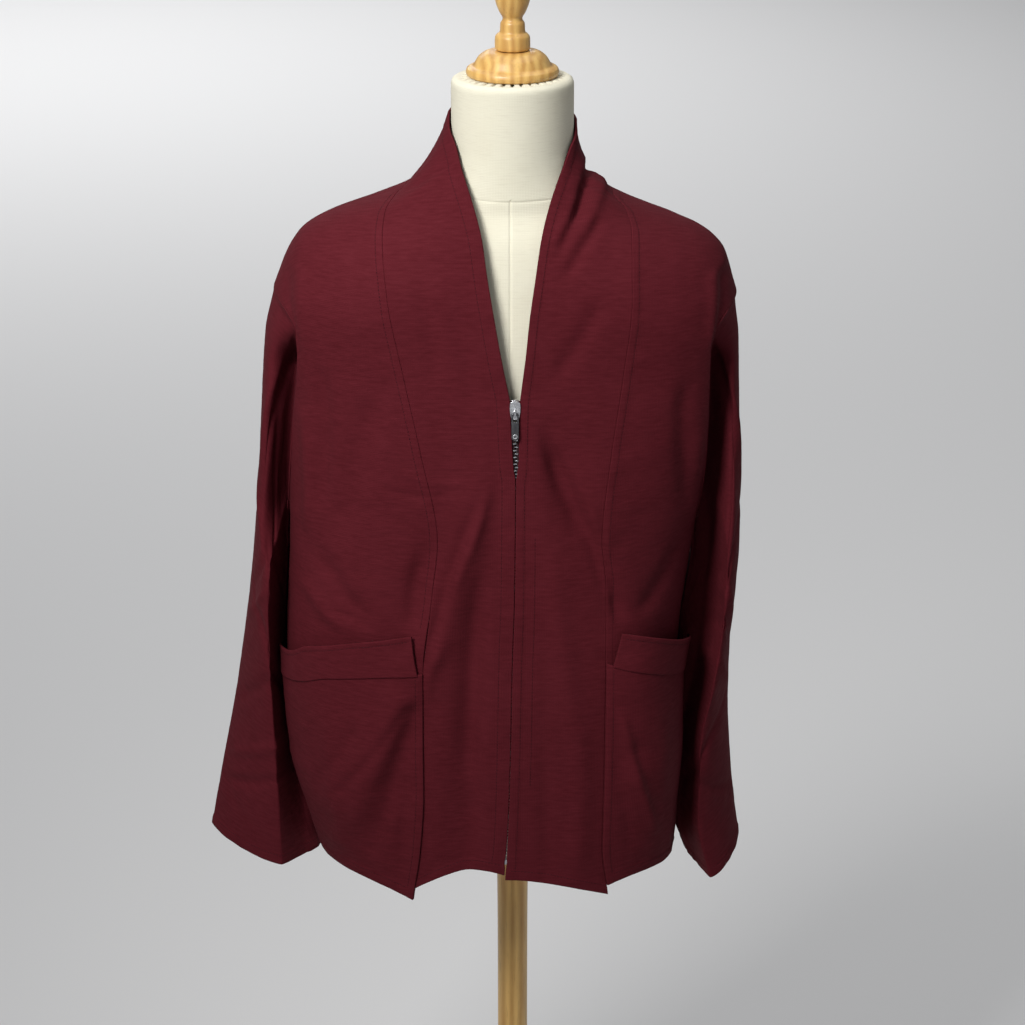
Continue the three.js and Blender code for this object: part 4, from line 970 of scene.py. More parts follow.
def resample(
    grid: np.ndarray, axis: int, start: EdgeWork, end: EdgeWork, step: float
) -> np.ndarray:
    """Lay a grid's lines out again at the edges' stations and even steps.

    Args:
        grid: The points, as rows of columns.
        axis: The axis to lay out again: 1 along the rows, 0 up the columns.
        start: The edge at the start.
        end: The edge at the end.
        step: The even steps' usual length.

    Returns:
        The new grid.
    """
    lying = grid if axis == 1 else grid.swapaxes(0, 1)
    lengths = arc_lengths(lying, 1)
    reach = start.stations[-1] + end.stations[-1]
    count = max(6, round((float(np.median(lengths[:, -1])) - reach) / step))
    lines = []
    for line, along in zip(lying, lengths):
        at = stations_along(float(along[-1]), start, end, count)
        lines.append(np.stack([np.interp(at, along, line[:, k]) for k in range(3)], axis=-1))
    laid = np.array(lines)
    return laid if axis == 1 else laid.swapaxes(0, 1)


def grid_normals(grid: np.ndarray, closed: bool, turn: int) -> np.ndarray:
    """The outward normals of a grid.

    Args:
        grid: The points, as rows of columns.
        closed: Whether the columns run once round.
        turn: 1 or -1, so that the normals point out of the jacket.

    Returns:
        One unit normal a point.
    """
    if closed:
        along = np.roll(grid, -1, axis=1) - np.roll(grid, 1, axis=1)
    else:
        along = np.gradient(grid, axis=1)
    up = np.gradient(grid, axis=0)
    return unit(turn * np.cross(along, up))


def mesh_object(
    name: str, points: np.ndarray, faces: list, uv: np.ndarray | None = None
) -> bpy.types.Object:
    """A mesh object from points in millimetres.

    Args:
        name: The object's name.
        points: The points.
        faces: Each face's point numbers.
        uv: One pair of coordinates a point, in metres along the cloth.

    Returns:
        The new object, smooth shaded.
    """
    mesh = bpy.data.meshes.new(name)
    mesh.from_pydata((points * MM).tolist(), [], faces)
    mesh.polygons.foreach_set("use_smooth", [True] * len(mesh.polygons))
    if uv is not None:
        layer = mesh.uv_layers.new(name="cloth")
        loops = np.zeros(len(mesh.loops), dtype=np.int32)
        mesh.loops.foreach_get("vertex_index", loops)
        layer.data.foreach_set("uv", uv[loops].ravel())
    mesh.update()
    piece = bpy.data.objects.new(name, mesh)
    bpy.context.scene.collection.objects.link(piece)
    return piece


@dataclass
class Shell:
    """A panel's cloth as a thin closed shell.

    Attributes:
        name: The piece's name.
        surface: The panel's outer surface, as rows of columns.
        turn: 1 or -1, so that normals point out.
        edges: The work at the start, end, foot and top of the grid.
        closed: Whether the columns run once round.
        step: The usual size of a mesh cell, across and up.
        thickness: The cloth's thickness.
        relief: Gives each point's offset out of the surface.
        pucker: The puckers along its free edges.
    """

    name: str
    surface: np.ndarray
    turn: int
    edges: tuple[Edge, Edge, Edge, Edge]
    closed: bool = False
    step: tuple[float, float] = (3.4, 2.8)
    thickness: float = CLOTH
    relief: Callable[["Shell"], np.ndarray] | None = None
    pucker: Pucker = Pucker()
    grid: np.ndarray = field(init=False)
    normals: np.ndarray = field(init=False)
    inner: np.ndarray = field(init=False)
    surface_rows: np.ndarray = field(init=False)
    across: np.ndarray = field(init=False)
    upward: np.ndarray = field(init=False)

    def __post_init__(self) -> None:
        """Lay the grid out, and raise its edges, creases and relief."""
        work = [EDGE_WORK[edge] for edge in self.edges]
        grid = self.surface
        if not self.closed:
            grid = resample(grid, 1, work[0], work[1], self.step[0])
        grid = resample(grid, 0, work[2], work[3], self.step[1])
        self.grid = self.surface_rows = grid
        self.normals = grid_normals(grid, self.closed, self.turn)
        self.across = arc_lengths(grid, 1)
        self.upward = arc_lengths(grid, 0)
        offset = self.edge_offset(work)
        if self.relief is not None:
            offset = offset + self.relief(self)
        behind = offset + self.rounding() - self.thickness
        self.inner = self.under_seams(grid + self.normals * behind[..., None])
        self.grid = grid + self.normals * offset[..., None]
        self.normals = grid_normals(self.grid, self.closed, self.turn)

    def rounding(self) -> np.ndarray:
        """How far the rolled edges drop.

        Returns:
            The drop at each point.
        """
        total = np.zeros(self.across.shape)
        for edge, away in zip(self.edges, self.from_edges()):
            if edge in FREE_EDGES:
                continue
            roll = EDGE_WORK[edge].roll
            inside = np.clip(roll - away, 0, roll)
            total = np.maximum(total, roll - np.sqrt(roll**2 - inside**2))
        return total

    def under_seams(self, inner: np.ndarray) -> np.ndarray:
        """Run the inner side a little past the sewn edges, so that no light shows there."""
        inner = inner.copy()
        ends = ((slice(None), 0), (slice(None), -1), (0, slice(None)), (-1, slice(None)))
        inwards = ((slice(None), 1), (slice(None), -2), (1, slice(None)), (-2, slice(None)))
        for edge, end, near in zip(self.edges, ends, inwards):
            if edge in (Edge.SEAM, Edge.STITCHED_SEAM):
                inner[end] += unit(inner[end] - inner[near]) * SEAM_LAP
        return inner

    def from_edges(self) -> list[np.ndarray]:
        """How far each point is from the start, end, foot and top of the grid."""
        across, upward = self.across, self.upward
        far = np.full(across.shape, 1e3)
        start, end = (far, far) if self.closed else (across, across[:, -1:] - across)
        return [start, end, upward, upward[-1:] - upward]

    def edge_offset(self, work: list[EdgeWork]) -> np.ndarray:
        """The edge work's relief, with puckers along the free edges.

        Args:
            work: The work at the start, end, foot and top of the grid.

        Returns:
            The offset at each point.
        """
        total = np.zeros(self.across.shape)
        for edge, piece, away in zip(self.edges, work, self.from_edges()):
            if edge is Edge.NONE:
                continue
            total = total + piece.offset(away)
            if edge in FREE_EDGES:
                along = self.across + self.upward
                ripple = noise(along / self.pucker.spacing, away / 14, 7)
                total = total + self.pucker.depth * ripple * (1 - smoothstep((away - 4) / 10))
        return total

    def cloth_uv(self) -> np.ndarray:
        """Coordinates along the cloth, in metres: across and up.

        Below the chest the weft is level, and above it it follows the cloth.

        Returns:
            One pair a point.
        """
        if self.closed:
            up = self.upward[-1:] - self.upward
        else:
            height = self.surface_rows[..., 2]
            low = np.array([np.interp(WEFT_LEVEL, z, u) for z, u in zip(height.T, self.upward.T)])
            up = np.where(height < WEFT_LEVEL, height, WEFT_LEVEL + self.upward - low)
        across = self.across + self.surface_rows[:, :1, 0] * self.turn
        return np.stack([across, up], axis=-1).reshape(-1, 2) * MM

    def area(self) -> float:
        """The cloth's area.

        Returns:
            The area of its one layer, in square metres.
        """
        a, b = self.grid[:-1, :-1], self.grid[1:, :-1]
        c, d = self.grid[1:, 1:], self.grid[:-1, 1:]
        halves = np.cross(b - a, c - a), np.cross(c - a, d - a)
        total = sum(float(np.linalg.norm(half, axis=-1).sum()) / 2 for half in halves)
        if self.closed:
            strip = np.linalg.norm(self.grid[:, 0] - self.grid[:, -1], axis=-1)
            total += float((strip[:-1] * np.diff(self.upward[:, 0])).sum())
        return total * MM * MM

    def flat_size(self) -> tuple[float, float]:
        """The widest and the longest line of the cloth, in metres."""
        width = float(self.across[:, -1].max())
        if self.closed:
            width += float(np.linalg.norm(self.grid[:, 0] - self.grid[:, -1], axis=-1).max())
        return width * MM, float(self.upward[-1].max()) * MM

    def build(self) -> bpy.types.Object:
        """Make the shell's mesh.

        Returns:
            The object, with its outer and inner sides and its rims.
        """
        rows, count = self.grid.shape[:2]
        points = np.concatenate([self.grid.reshape(-1, 3), self.inner.reshape(-1, 3)])
        shell = rows * count
        spans = count if self.closed else count - 1
        i, j = np.meshgrid(np.arange(rows - 1), np.arange(spans), indexing="ij")
        a, b = (i * count + j).ravel(), (i * count + (j + 1) % count).ravel()
        c, d = b + count, a + count
        out = np.stack([a, b, c, d], axis=1) if self.turn > 0 else np.stack([a, d, c, b], axis=1)
        faces = [out, out[:, ::-1] + shell]
        rims = []
        low = np.stack([np.arange(spans), (np.arange(spans) + 1) % count], axis=1)
        high = low[:, ::-1] + (rows - 1) * count
        rims += [low, high]
        if not self.closed:
            side = np.arange(rows - 1)[:, None] * count
            rims.append(np.concatenate([side + count, side], axis=1))
            rims.append(np.concatenate([side, side + count], axis=1) + count - 1)
        for rim in rims:
            quad = np.concatenate([rim[:, ::-1], rim + shell], axis=1)
            faces.append(quad if self.turn > 0 else quad[:, ::-1])
        uv = np.concatenate([self.cloth_uv(), self.cloth_uv()])
        return mesh_object(self.name, points, np.concatenate(faces).tolist(), uv)


# ------------------------------------------------------------------------ cloth's pieces


# The cells of the crumpling's noise, across and up, in millimetres.
BEND_CELL, BEND_HEIGHT = (40, 26), 3
SLUB_CELLS = ((21, 2.9), (12, 2.1))
PATCH_CELL = (60, 50)
SOFT_CELLS = ((34, 19), (17, 11))


@dataclass(frozen=True)
class Crumple:
    """Fine, irregular creasing in a piece of cloth.

    Attributes:
        slub: Height of the short horizontal slubs.
        soft: Height of the soft undulation.
        seed: Picks the pattern.
    """

    slub: float = 0.16
    soft: float = 0.5
    seed: int = 3

    def offset(self, x: np.ndarray, z: np.ndarray) -> np.ndarray:
        """The creasing's height, from each point's place on the cloth.

        Args:
            x: How far across each point is.
            z: How far up it is.

        Returns:
            The height at each point.
        """
        bend = noise(x / BEND_CELL[0], z / BEND_CELL[1], self.seed) * BEND_HEIGHT
        (wide, tall), (narrow, low) = SLUB_CELLS
        slubs = noise(x / wide, (z + bend) / tall, self.seed + 1)
        slubs = slubs + 0.6 * noise(x / narrow, (z + bend) / low, self.seed + 2)
        patches = 0.55 + 0.45 * noise(x / PATCH_CELL[0], z / PATCH_CELL[1], self.seed + 3)
        (wide, tall), (narrow, low) = SOFT_CELLS
        soft = noise((x + z * 0.3) / wide, (z - x * 0.2) / tall, self.seed + 4)
        soft = soft + 0.5 * noise((x - z * 0.4) / narrow, z / low, self.seed + 5)
        return self.slub * patches * slubs + self.soft * 0.5 * soft


# Creases fade out over this share of the reach beside the side seam, and near an edge.
SIDE_FADE, EDGE_HOLD = 0.1, 9.0
# The hem's stronger slubs start under this height and out from this place.
LOW_UNDER, LOW_OVER, LOW_OUT, LOW_ACROSS = 1010.0, 160.0, 40.0, 60.0
# The princess seam's puckers: how far in they are, how wide, their cell and their pattern.
PUCKER_IN, PUCKER_WIDTH, PUCKER_CELL, PUCKER_SEED = 13.0, 9.0, (7.5, 30), 31
CREASE_STRENGTH, HELD_CREASE, HELD_FINE = 1.5, 0.35, 0.4
# The relief fades out under a pocket's top, which it would otherwise push out.
POCKET_CLEAR, POCKET_FADE = 2.0, 22.0


@dataclass(frozen=True)
class BodyRelief:
    """Creases and crumpling on a panel of the jacket's body.

    Attributes:
        face: The face that the panel is on.
        crumple: Its fine creasing.
        low_slub: How much stronger the slubs are at the hem on the wearer's right.
        seam_puckers: Depth of the small puckers beside the stitched seam, if any.
        pocket: The pocket that covers the panel's lower part, if any.
    """

    face: Face
    crumple: Crumple
    low_slub: float = 1.0
    seam_puckers: float = 0.0
    pocket: Pocket | None = None

    def __call__(self, shell: Shell) -> np.ndarray:
        """The relief's offset at each point of a shell.

        Args:
            shell: The shell that it is laid on.

        Returns:
            How far each point moves out.
        """
        x, z = shell.grid[..., 0], shell.grid[..., 2]
        creases = SURFACE.fold(self.face, x, z, CREASES)
        reach = np.where(x < 0, SURFACE.reach[Side.RIGHT](z), SURFACE.reach[Side.LEFT](z))
        at_side = smoothstep((1 - np.abs(x) / reach) / SIDE_FADE)
        low = smoothstep((LOW_UNDER - z) / LOW_OVER) * smoothstep((-x - LOW_OUT) / LOW_ACROSS)
        fine = self.crumple.offset(x, z) * lerp(1, self.low_slub, low)
        edge = np.minimum.reduce(shell.from_edges())
        held = smoothstep(edge / EDGE_HOLD)
        puckers = 0.0
        if self.seam_puckers:
            away = shell.from_edges()[0]
            wave = noise(z / PUCKER_CELL[0], away / PUCKER_CELL[1], PUCKER_SEED)
            puckers = self.seam_puckers * wave * bump(away - PUCKER_IN, PUCKER_WIDTH)
        creased = -CREASE_STRENGTH * creases * at_side * lerp(HELD_CREASE, 1, held)
        total = creased + fine * lerp(HELD_FINE, 1, held) + puckers
        if self.pocket is None:
            return total
        share = shell.across / shell.across[:, -1:]
        return total * smoothstep((z - self.pocket.top(share) - POCKET_CLEAR) / POCKET_FADE)


@dataclass(frozen=True)
class SleeveCrease:
    """A crease on a sleeve.

    Attributes:
        angle: Where it lies round the sleeve, in turns from the outer edge, front first.
        at: How far down it is, as a share of the sleeve's length.
        slant: How much of a turn it goes round as it runs down by a tenth.
        length: Its half length, as a share of the sleeve's length.
        width: Its half width, as a share of a turn.
        depth: How far it moves the cloth in.
    """

    angle: float
    at: float
    slant: float
    length: float
    width: float
    depth: float

    def offset(self, turn: np.ndarray, down: np.ndarray) -> np.ndarray:
        """How far the crease moves each point in."""
        run = down - self.at
        away = turn - self.angle - self.slant * run * 10
        away = away - np.round(away)
        return self.depth * bump(away, self.width) * bump(run, self.length)


# The dip beside the sleeve's seam: the heights that it fades over, and its own shape.
TUCK_TOP_OVER, TUCK_FOOT, TUCK_FOOT_OVER = 40.0, 1120.0, 60.0
DIP_IN, DIP_FROM, DIP_OUT = 7.0, 8.0, 34.0
# A sleeve's creases start below its seam, and ease over its hem and at its outer edge.
SLEEVE_START, SLEEVE_END, SLEEVE_END_SHARE = 0.05, 0.04, 0.5
OUTER_FROM, OUTER_OVER = 0.015, 0.09


@dataclass(frozen=True)
class SleeveRelief:
    """Creases and crumpling on a sleeve.

    Attributes:
        creases: Its creases.
        crumple: Its fine creasing.
        tuck: How deep the sleeve dips beside its seam, below the shoulder.
        tuck_from: The height that the dip starts under.
    """

    creases: tuple[SleeveCrease, ...]
    crumple: Crumple
    tuck: float = 7.0
    tuck_from: float = 1240.0

    def tucked(self, shell: Shell) -> np.ndarray:
        """The dip beside the seam, where the body's cloth stands over the sleeve.

        Args:
            shell: The sleeve's shell.

        Returns:
            The offset at each point.
        """
        from_seam = shell.upward
        seam_z = np.broadcast_to(shell.grid[:1, :, 2], from_seam.shape)
        lower = smoothstep((self.tuck_from - seam_z) / TUCK_TOP_OVER)
        lower = lower * smoothstep((seam_z - TUCK_FOOT) / TUCK_FOOT_OVER)
        dip = smoothstep(from_seam / DIP_IN) * (1 - smoothstep((from_seam - DIP_FROM) / DIP_OUT))
        return -self.tuck * lower * dip

    def __call__(self, shell: Shell) -> np.ndarray:
        """The relief's offset at each point of a shell.

        Args:
            shell: The shell that it is laid on.

        Returns:
            How far each point moves out.
        """
        rows, count = shell.grid.shape[:2]
        turn = np.broadcast_to(np.arange(count) / count, (rows, count))
        down = 1 - shell.upward / shell.upward[-1:]
        total = np.zeros((rows, count))
        for crease in self.creases:
            total = total - crease.offset(turn, down)
        start = smoothstep(down / SLEEVE_START)
        end = lerp(SLEEVE_END_SHARE, 1, smoothstep((1 - down) / SLEEVE_END))
        # Both ends of the turn meet, so the pattern's coordinate runs there and back.
        around = np.abs(turn - 0.5) * shell.across.max()
        fine = self.crumple.offset(around, shell.upward)
        from_side = np.minimum(turn, 1 - turn)
        total = total * smoothstep((from_side - OUTER_FROM) / OUTER_OVER)
        return (total + fine) * start * end + self.tucked(shell)


RIGHT_SLEEVE_CREASES = (
    SleeveCrease(0.10, 0.12, 0.30, 0.06, 0.028, 3.0),
    SleeveCrease(0.16, 0.20, 0.28, 0.07, 0.026, -2.4),
    SleeveCrease(0.12, 0.30, 0.22, 0.08, 0.028, 2.6),
    SleeveCrease(0.24, 0.40, -0.16, 0.09, 0.028, 2.6),
    SleeveCrease(0.14, 0.47, 0.20, 0.07, 0.024, -2.2),
    SleeveCrease(0.20, 0.56, 0.16, 0.08, 0.026, 2.6),
    SleeveCrease(0.10, 0.64, -0.12, 0.10, 0.026, -2.0),
    SleeveCrease(0.26, 0.70, -0.06, 0.12, 0.022, 2.6),
    SleeveCrease(0.17, 0.80, 0.02, 0.16, 0.022, 2.8),
    SleeveCrease(0.12, 0.84, 0.02, 0.14, 0.018, -2.0),
    SleeveCrease(0.88, 0.16, -0.26, 0.07, 0.030, 2.6),
    SleeveCrease(0.80, 0.34, -0.18, 0.09, 0.030, 2.4),
    SleeveCrease(0.84, 0.52, 0.14, 0.09, 0.030, -2.2),
    SleeveCrease(0.78, 0.66, -0.10, 0.12, 0.026, 2.4),
    SleeveCrease(0.86, 0.82, 0.04, 0.15, 0.024, 2.4),
)
LEFT_SLEEVE_CREASES = (
    SleeveCrease(0.12, 0.14, 0.26, 0.06, 0.028, 2.8),
    SleeveCrease(0.20, 0.24, -0.20, 0.07, 0.028, 2.4),
    SleeveCrease(0.10, 0.34, 0.20, 0.08, 0.026, -2.2),
    SleeveCrease(0.16, 0.44, 0.22, 0.07, 0.026, 2.8),
    SleeveCrease(0.22, 0.52, 0.14, 0.07, 0.024, -2.4),
    SleeveCrease(0.14, 0.62, -0.16, 0.08, 0.026, 2.6),
    SleeveCrease(0.20, 0.72, -0.08, 0.12, 0.024, 2.6),
    SleeveCrease(0.17, 0.86, 0.01, 0.16, 0.030, 3.2),
    SleeveCrease(0.11, 0.80, 0.02, 0.16, 0.020, -2.2),
    SleeveCrease(0.86, 0.18, -0.24, 0.07, 0.030, 2.6),
    SleeveCrease(0.80, 0.36, 0.18, 0.09, 0.030, 2.4),
    SleeveCrease(0.85, 0.54, -0.14, 0.10, 0.028, -2.2),
    SleeveCrease(0.79, 0.72, 0.06, 0.12, 0.026, 2.6),
    SleeveCrease(0.87, 0.86, 0.02, 0.15, 0.024, 2.2),
)


@dataclass(frozen=True)
class Pocket:
    """A patch pocket with a welt band, on a side front.

    Attributes:
        band: The band's foot and top, as (share of the panel's width, foot, top).
        starts: The shares of the width where the band's foot and top start.
        gape: How far the band's outer end stands off.
    """

    band: tuple[tuple[float, float, float], ...]
    starts: tuple[float, float]
    gape: float

    def foot(self, share: np.ndarray) -> np.ndarray:
        """The band's foot at each share of the panel's width."""
        return columns(self.band)[0](share)

    def top(self, share: np.ndarray) -> np.ndarray:
        """The band's top at each share of the panel's width."""
        return columns(self.band)[1](share)


POCKETS = {
    Side.RIGHT: Pocket(
        (
            (0, 876, 917),
            (0.27, 869.5, 907),
            (0.45, 862.5, 897),
            (0.56, 854, 890.5),
            (0.66, 848.5, 880),
            (0.84, 841, 870),
            (1, 835, 861),
        ),
        (0.02, 0.055),
        0,
    ),
    Side.LEFT: Pocket(
        (
            (0, 884, 918),
            (0.25, 873.5, 910.5),
            (0.55, 858, 895),
            (0.85, 844, 878),
            (1, 836, 867),
        ),
        (0.045, 0.105),
        6,
    ),
}
BAND_END = 0.965
POUCH_FOOTING = 2.1
BAND_FOOTING = 3.5
POUCH_LAP = 1.5
POUCH_ROWS = 72
BAND_ROWS = 24
PATCH_COLUMNS = 121
POCKET_EASE = 9.0
POCKET_FULLNESS = 0.7
GAPE_POWER = 1.5


def patch_grid(
    panel: np.ndarray,
    turn: int,
    low: Callable[[np.ndarray], np.ndarray],
    high: Callable[[np.ndarray], np.ndarray],
    out: Callable[[np.ndarray, float], np.ndarray],
    ends: tuple[float, float, float],
    rows: int,
) -> np.ndarray:
    """A patch's surface on a panel.

    Args:
        panel: The panel's grid.
        turn: 1 or -1, so that the panel's normals point out.
        low: The patch's foot, as a height at each share of the panel's width.
        high: The patch's top.
        out: How far it stands off, from the shares and the rise up the patch.
        ends: The shares of the panel's width where its foot and top start and it ends.
        rows: How many rows to make.

    Returns:
        The patch's grid.
    """
    panel_normals = grid_normals(panel, False, turn)
    grid = []
    for rise in np.linspace(0, 1, rows):
        shares = np.linspace(lerp(ends[0], ends[1], rise), ends[2], PATCH_COLUMNS)
        at = shares * (panel.shape[1] - 1)
        left = np.minimum(at.astype(int), panel.shape[1] - 2)
        blend = (at - left)[None, :, None]
        points = lerp(panel[:, left], panel[:, left + 1], blend)
        normals = lerp(panel_normals[:, left], panel_normals[:, left + 1], blend)
        z = lerp(low(shares), high(shares), rise)
        row = []
        for j, height in enumerate(z):
            column = points[:, j, 2]
            here = [np.interp(height, column, points[:, j, k]) for k in range(3)]
            away = [np.interp(height, column, normals[:, j, k]) for k in range(3)]
            row.append(np.concatenate([here, away]))
        row = np.array(row)
        grid.append(row[:, :3] + unit(row[:, 3:]) * out(shares, rise)[:, None])
    return np.array(grid)


# A pouch's puckers along its hem: their cell, pattern, height and width, and its edges' hold.
HEM_CELL, HEM_SEED, HEM_AT, HEM_WIDTH = (24, 70), 41, 26.0, 30.0
POUCH_HOLD, POUCH_HELD = 10.0, 0.3


@dataclass(frozen=True)
class PocketRelief:
    """Crumpling on a pouch, with a few soft puckers along its hem."""

    crumple: Crumple
    puckers: float = 1.0
    rucks: tuple[Crease, ...] = ()

    def __call__(self, shell: Shell) -> np.ndarray:
        """The relief's offset at each point of a shell.

        Args:
            shell: The shell that it is laid on.

        Returns:
            How far each point moves out.
        """
        x, z = shell.grid[..., 0], shell.grid[..., 2]
        edge = np.minimum.reduce(shell.from_edges())
        held = smoothstep(edge / POUCH_HOLD)
        up = shell.upward
        wave = noise(shell.across / HEM_CELL[0], up / HEM_CELL[1], HEM_SEED)
        wave = wave * bump(up - HEM_AT, HEM_WIDTH)
        total = self.puckers * wave + self.crumple.offset(x, z)
        for ruck in self.rucks:
            total = total - ruck.offset(x, z)
        return total * lerp(POUCH_HELD, 1, held)


RIGHT_RUCKS = (
    Crease(Face.FRONT, (-100, 868), (-126, 800), (-168, 690), 12, -3.6, 0.15),
    Crease(Face.FRONT, (-92, 852), (-104, 800), (-138, 690), 9, 3.0, 0.15),
    Crease(Face.FRONT, (-100, 850), (-128, 800), (-176, 742), 5, 1.8, 0.2),
    Crease(Face.FRONT, (-98, 790), (-108, 735), (-112, 660), 8, 2.6),
    Crease(Face.FRONT, (-150, 830), (-172, 780), (-196, 745), 6, 1.8, 0.2),
    Crease(Face.FRONT, (-178, 838), (-186, 770), (-172, 690), 9, -1.8),
)
LEFT_RUCKS = (
    Crease(Face.FRONT, (104, 842), (122, 772), (142, 700), 5, -3.6, 0.2),
    Crease(Face.FRONT, (116, 806), (134, 762), (152, 712), 8, 3.0, 0.2),
    Crease(Face.FRONT, (100, 800), (110, 750), (118, 690), 7, 1.6, 0.3),
    Crease(Face.FRONT, (146, 830), (154, 770), (150, 690), 8, -1.8),
)


@dataclass(frozen=True)
class StitchLine:
    """A row of topstitching.

    Attributes:
        pitch: From one stitch to the next.
        length: A stitch's own length.
        radius: Half the thread's thickness across the cloth.
        height: How far a stitch stands up.
    """

    pitch: float = 3.3
    length: float = 2.5
    radius: float = 0.36
    height: float = 0.3


STITCH = StitchLine()
STITCH_SIDES = 5
STITCH_RINGS = ((-0.5, 0.25), (-0.32, 0.85), (0.0, 1.0), (0.32, 0.85), (0.5, 0.25))


def stitches(
    line: np.ndarray, normals: np.ndarray, work: StitchLine = STITCH
) -> tuple[np.ndarray, list[list[int]]]:
    """The threads of a row of stitches along a line on the cloth.

    Args:
        line: The line's points.
        normals: The cloth's normals there.
        work: The stitches' sizes.

    Returns:
        The threads' points and faces.
    """
    steps = np.linalg.norm(np.diff(line, axis=0), axis=1)
    along = np.concatenate([[0], np.cumsum(steps)])
    centres = np.arange(work.pitch, along[-1] - work.pitch / 2, work.pitch)
    if len(centres) == 0:
        return np.zeros((0, 3)), []
    at = np.stack([np.interp(centres, along, line[:, k]) for k in range(3)], axis=-1)
    up = unit(np.stack([np.interp(centres, along, normals[:, k]) for k in range(3)], axis=-1))
    ahead = np.stack([np.interp(centres + 0.6, along, line[:, k]) for k in range(3)], axis=-1)
    ahead = unit(ahead - at)
    across = np.cross(up, ahead)
    rings = []
    for place, size in STITCH_RINGS:
        for k in range(STITCH_SIDES):
            angle = 2 * math.pi * k / STITCH_SIDES
            sideways = work.radius * size * math.cos(angle)
            lift = work.height * (0.1 + size * 0.5 * (1 + math.sin(angle)))
            rings.append(at + ahead * work.length * place + across * sideways + up * lift)
    points = np.stack(rings, axis=1).reshape(-1, 3)
    faces = []
    per = len(rings)
    for first in range(0, len(points), per):
        for ring in range(len(STITCH_RINGS) - 1):
            for k in range(STITCH_SIDES):
                a = first + ring * STITCH_SIDES + k
                b = first + ring * STITCH_SIDES + (k + 1) % STITCH_SIDES
                faces.append([a, b, b + STITCH_SIDES, a + STITCH_SIDES])
        last = first + (len(STITCH_RINGS) - 1) * STITCH_SIDES
        faces.append([first + k for k in range(STITCH_SIDES)][::-1])
        faces.append([last + k for k in range(STITCH_SIDES)])
    return points, faces


def inside_line(
    shell: Shell, edge: int, away: float, start: float = 0, end: float = 0
) -> tuple[np.ndarray, np.ndarray]:
    """A line on a shell at a distance from one of its edges.

    Args:
        shell: The shell.
        edge: 0 to 3 for the grid's start, end, foot and top.
        away: How far in the line lies.
        start: How far from the edge's own start the line starts.
        end: How far from the edge's end it ends.

    Returns:
        The line's points and the cloth's normals there.
    """
    across = edge < 2
    distance = shell.from_edges()[edge]
    grid, normals = shell.grid, shell.normals
    if not across:
        distance, grid, normals = distance.T, grid.swapaxes(0, 1), normals.swapaxes(0, 1)
    if edge in (1, 3):
        distance, grid, normals = distance[:, ::-1], grid[:, ::-1], normals[:, ::-1]
    points, ups = [], []
    for d, line, up in zip(distance, grid, normals):
        points.append([np.interp(away, d, line[:, k]) for k in range(3)])
        ups.append([np.interp(away, d, up[:, k]) for k in range(3)])
    points, ups = np.array(points), np.array(ups)
    steps = np.linalg.norm(np.diff(points, axis=0), axis=1)
    along = np.concatenate([[0], np.cumsum(steps)])
    kept = (along >= start) & (along <= along[-1] - end)
    return points[kept], ups[kept]


@dataclass
class Threads:
    """Rows of stitches gathered into one piece."""

    name: str
    points: list[np.ndarray] = field(default_factory=list)
    faces: list[list[int]] = field(default_factory=list)
    count: int = 0

    def sew(self, line: tuple[np.ndarray, np.ndarray], work: StitchLine = STITCH) -> None:
        """Add a row of stitches along a line with its normals."""
        if len(line[0]) < 2:
            return
        points, faces = stitches(line[0], line[1], work)
        self.faces.extend([i + self.count for i in face] for face in faces)
        self.points.append(points)
        self.count += len(points)

    def build(self) -> bpy.types.Object:
        """The stitches' mesh object."""
        return mesh_object(self.name, np.concatenate(self.points), self.faces)


# --------------------------------------------------------------------------- finishes


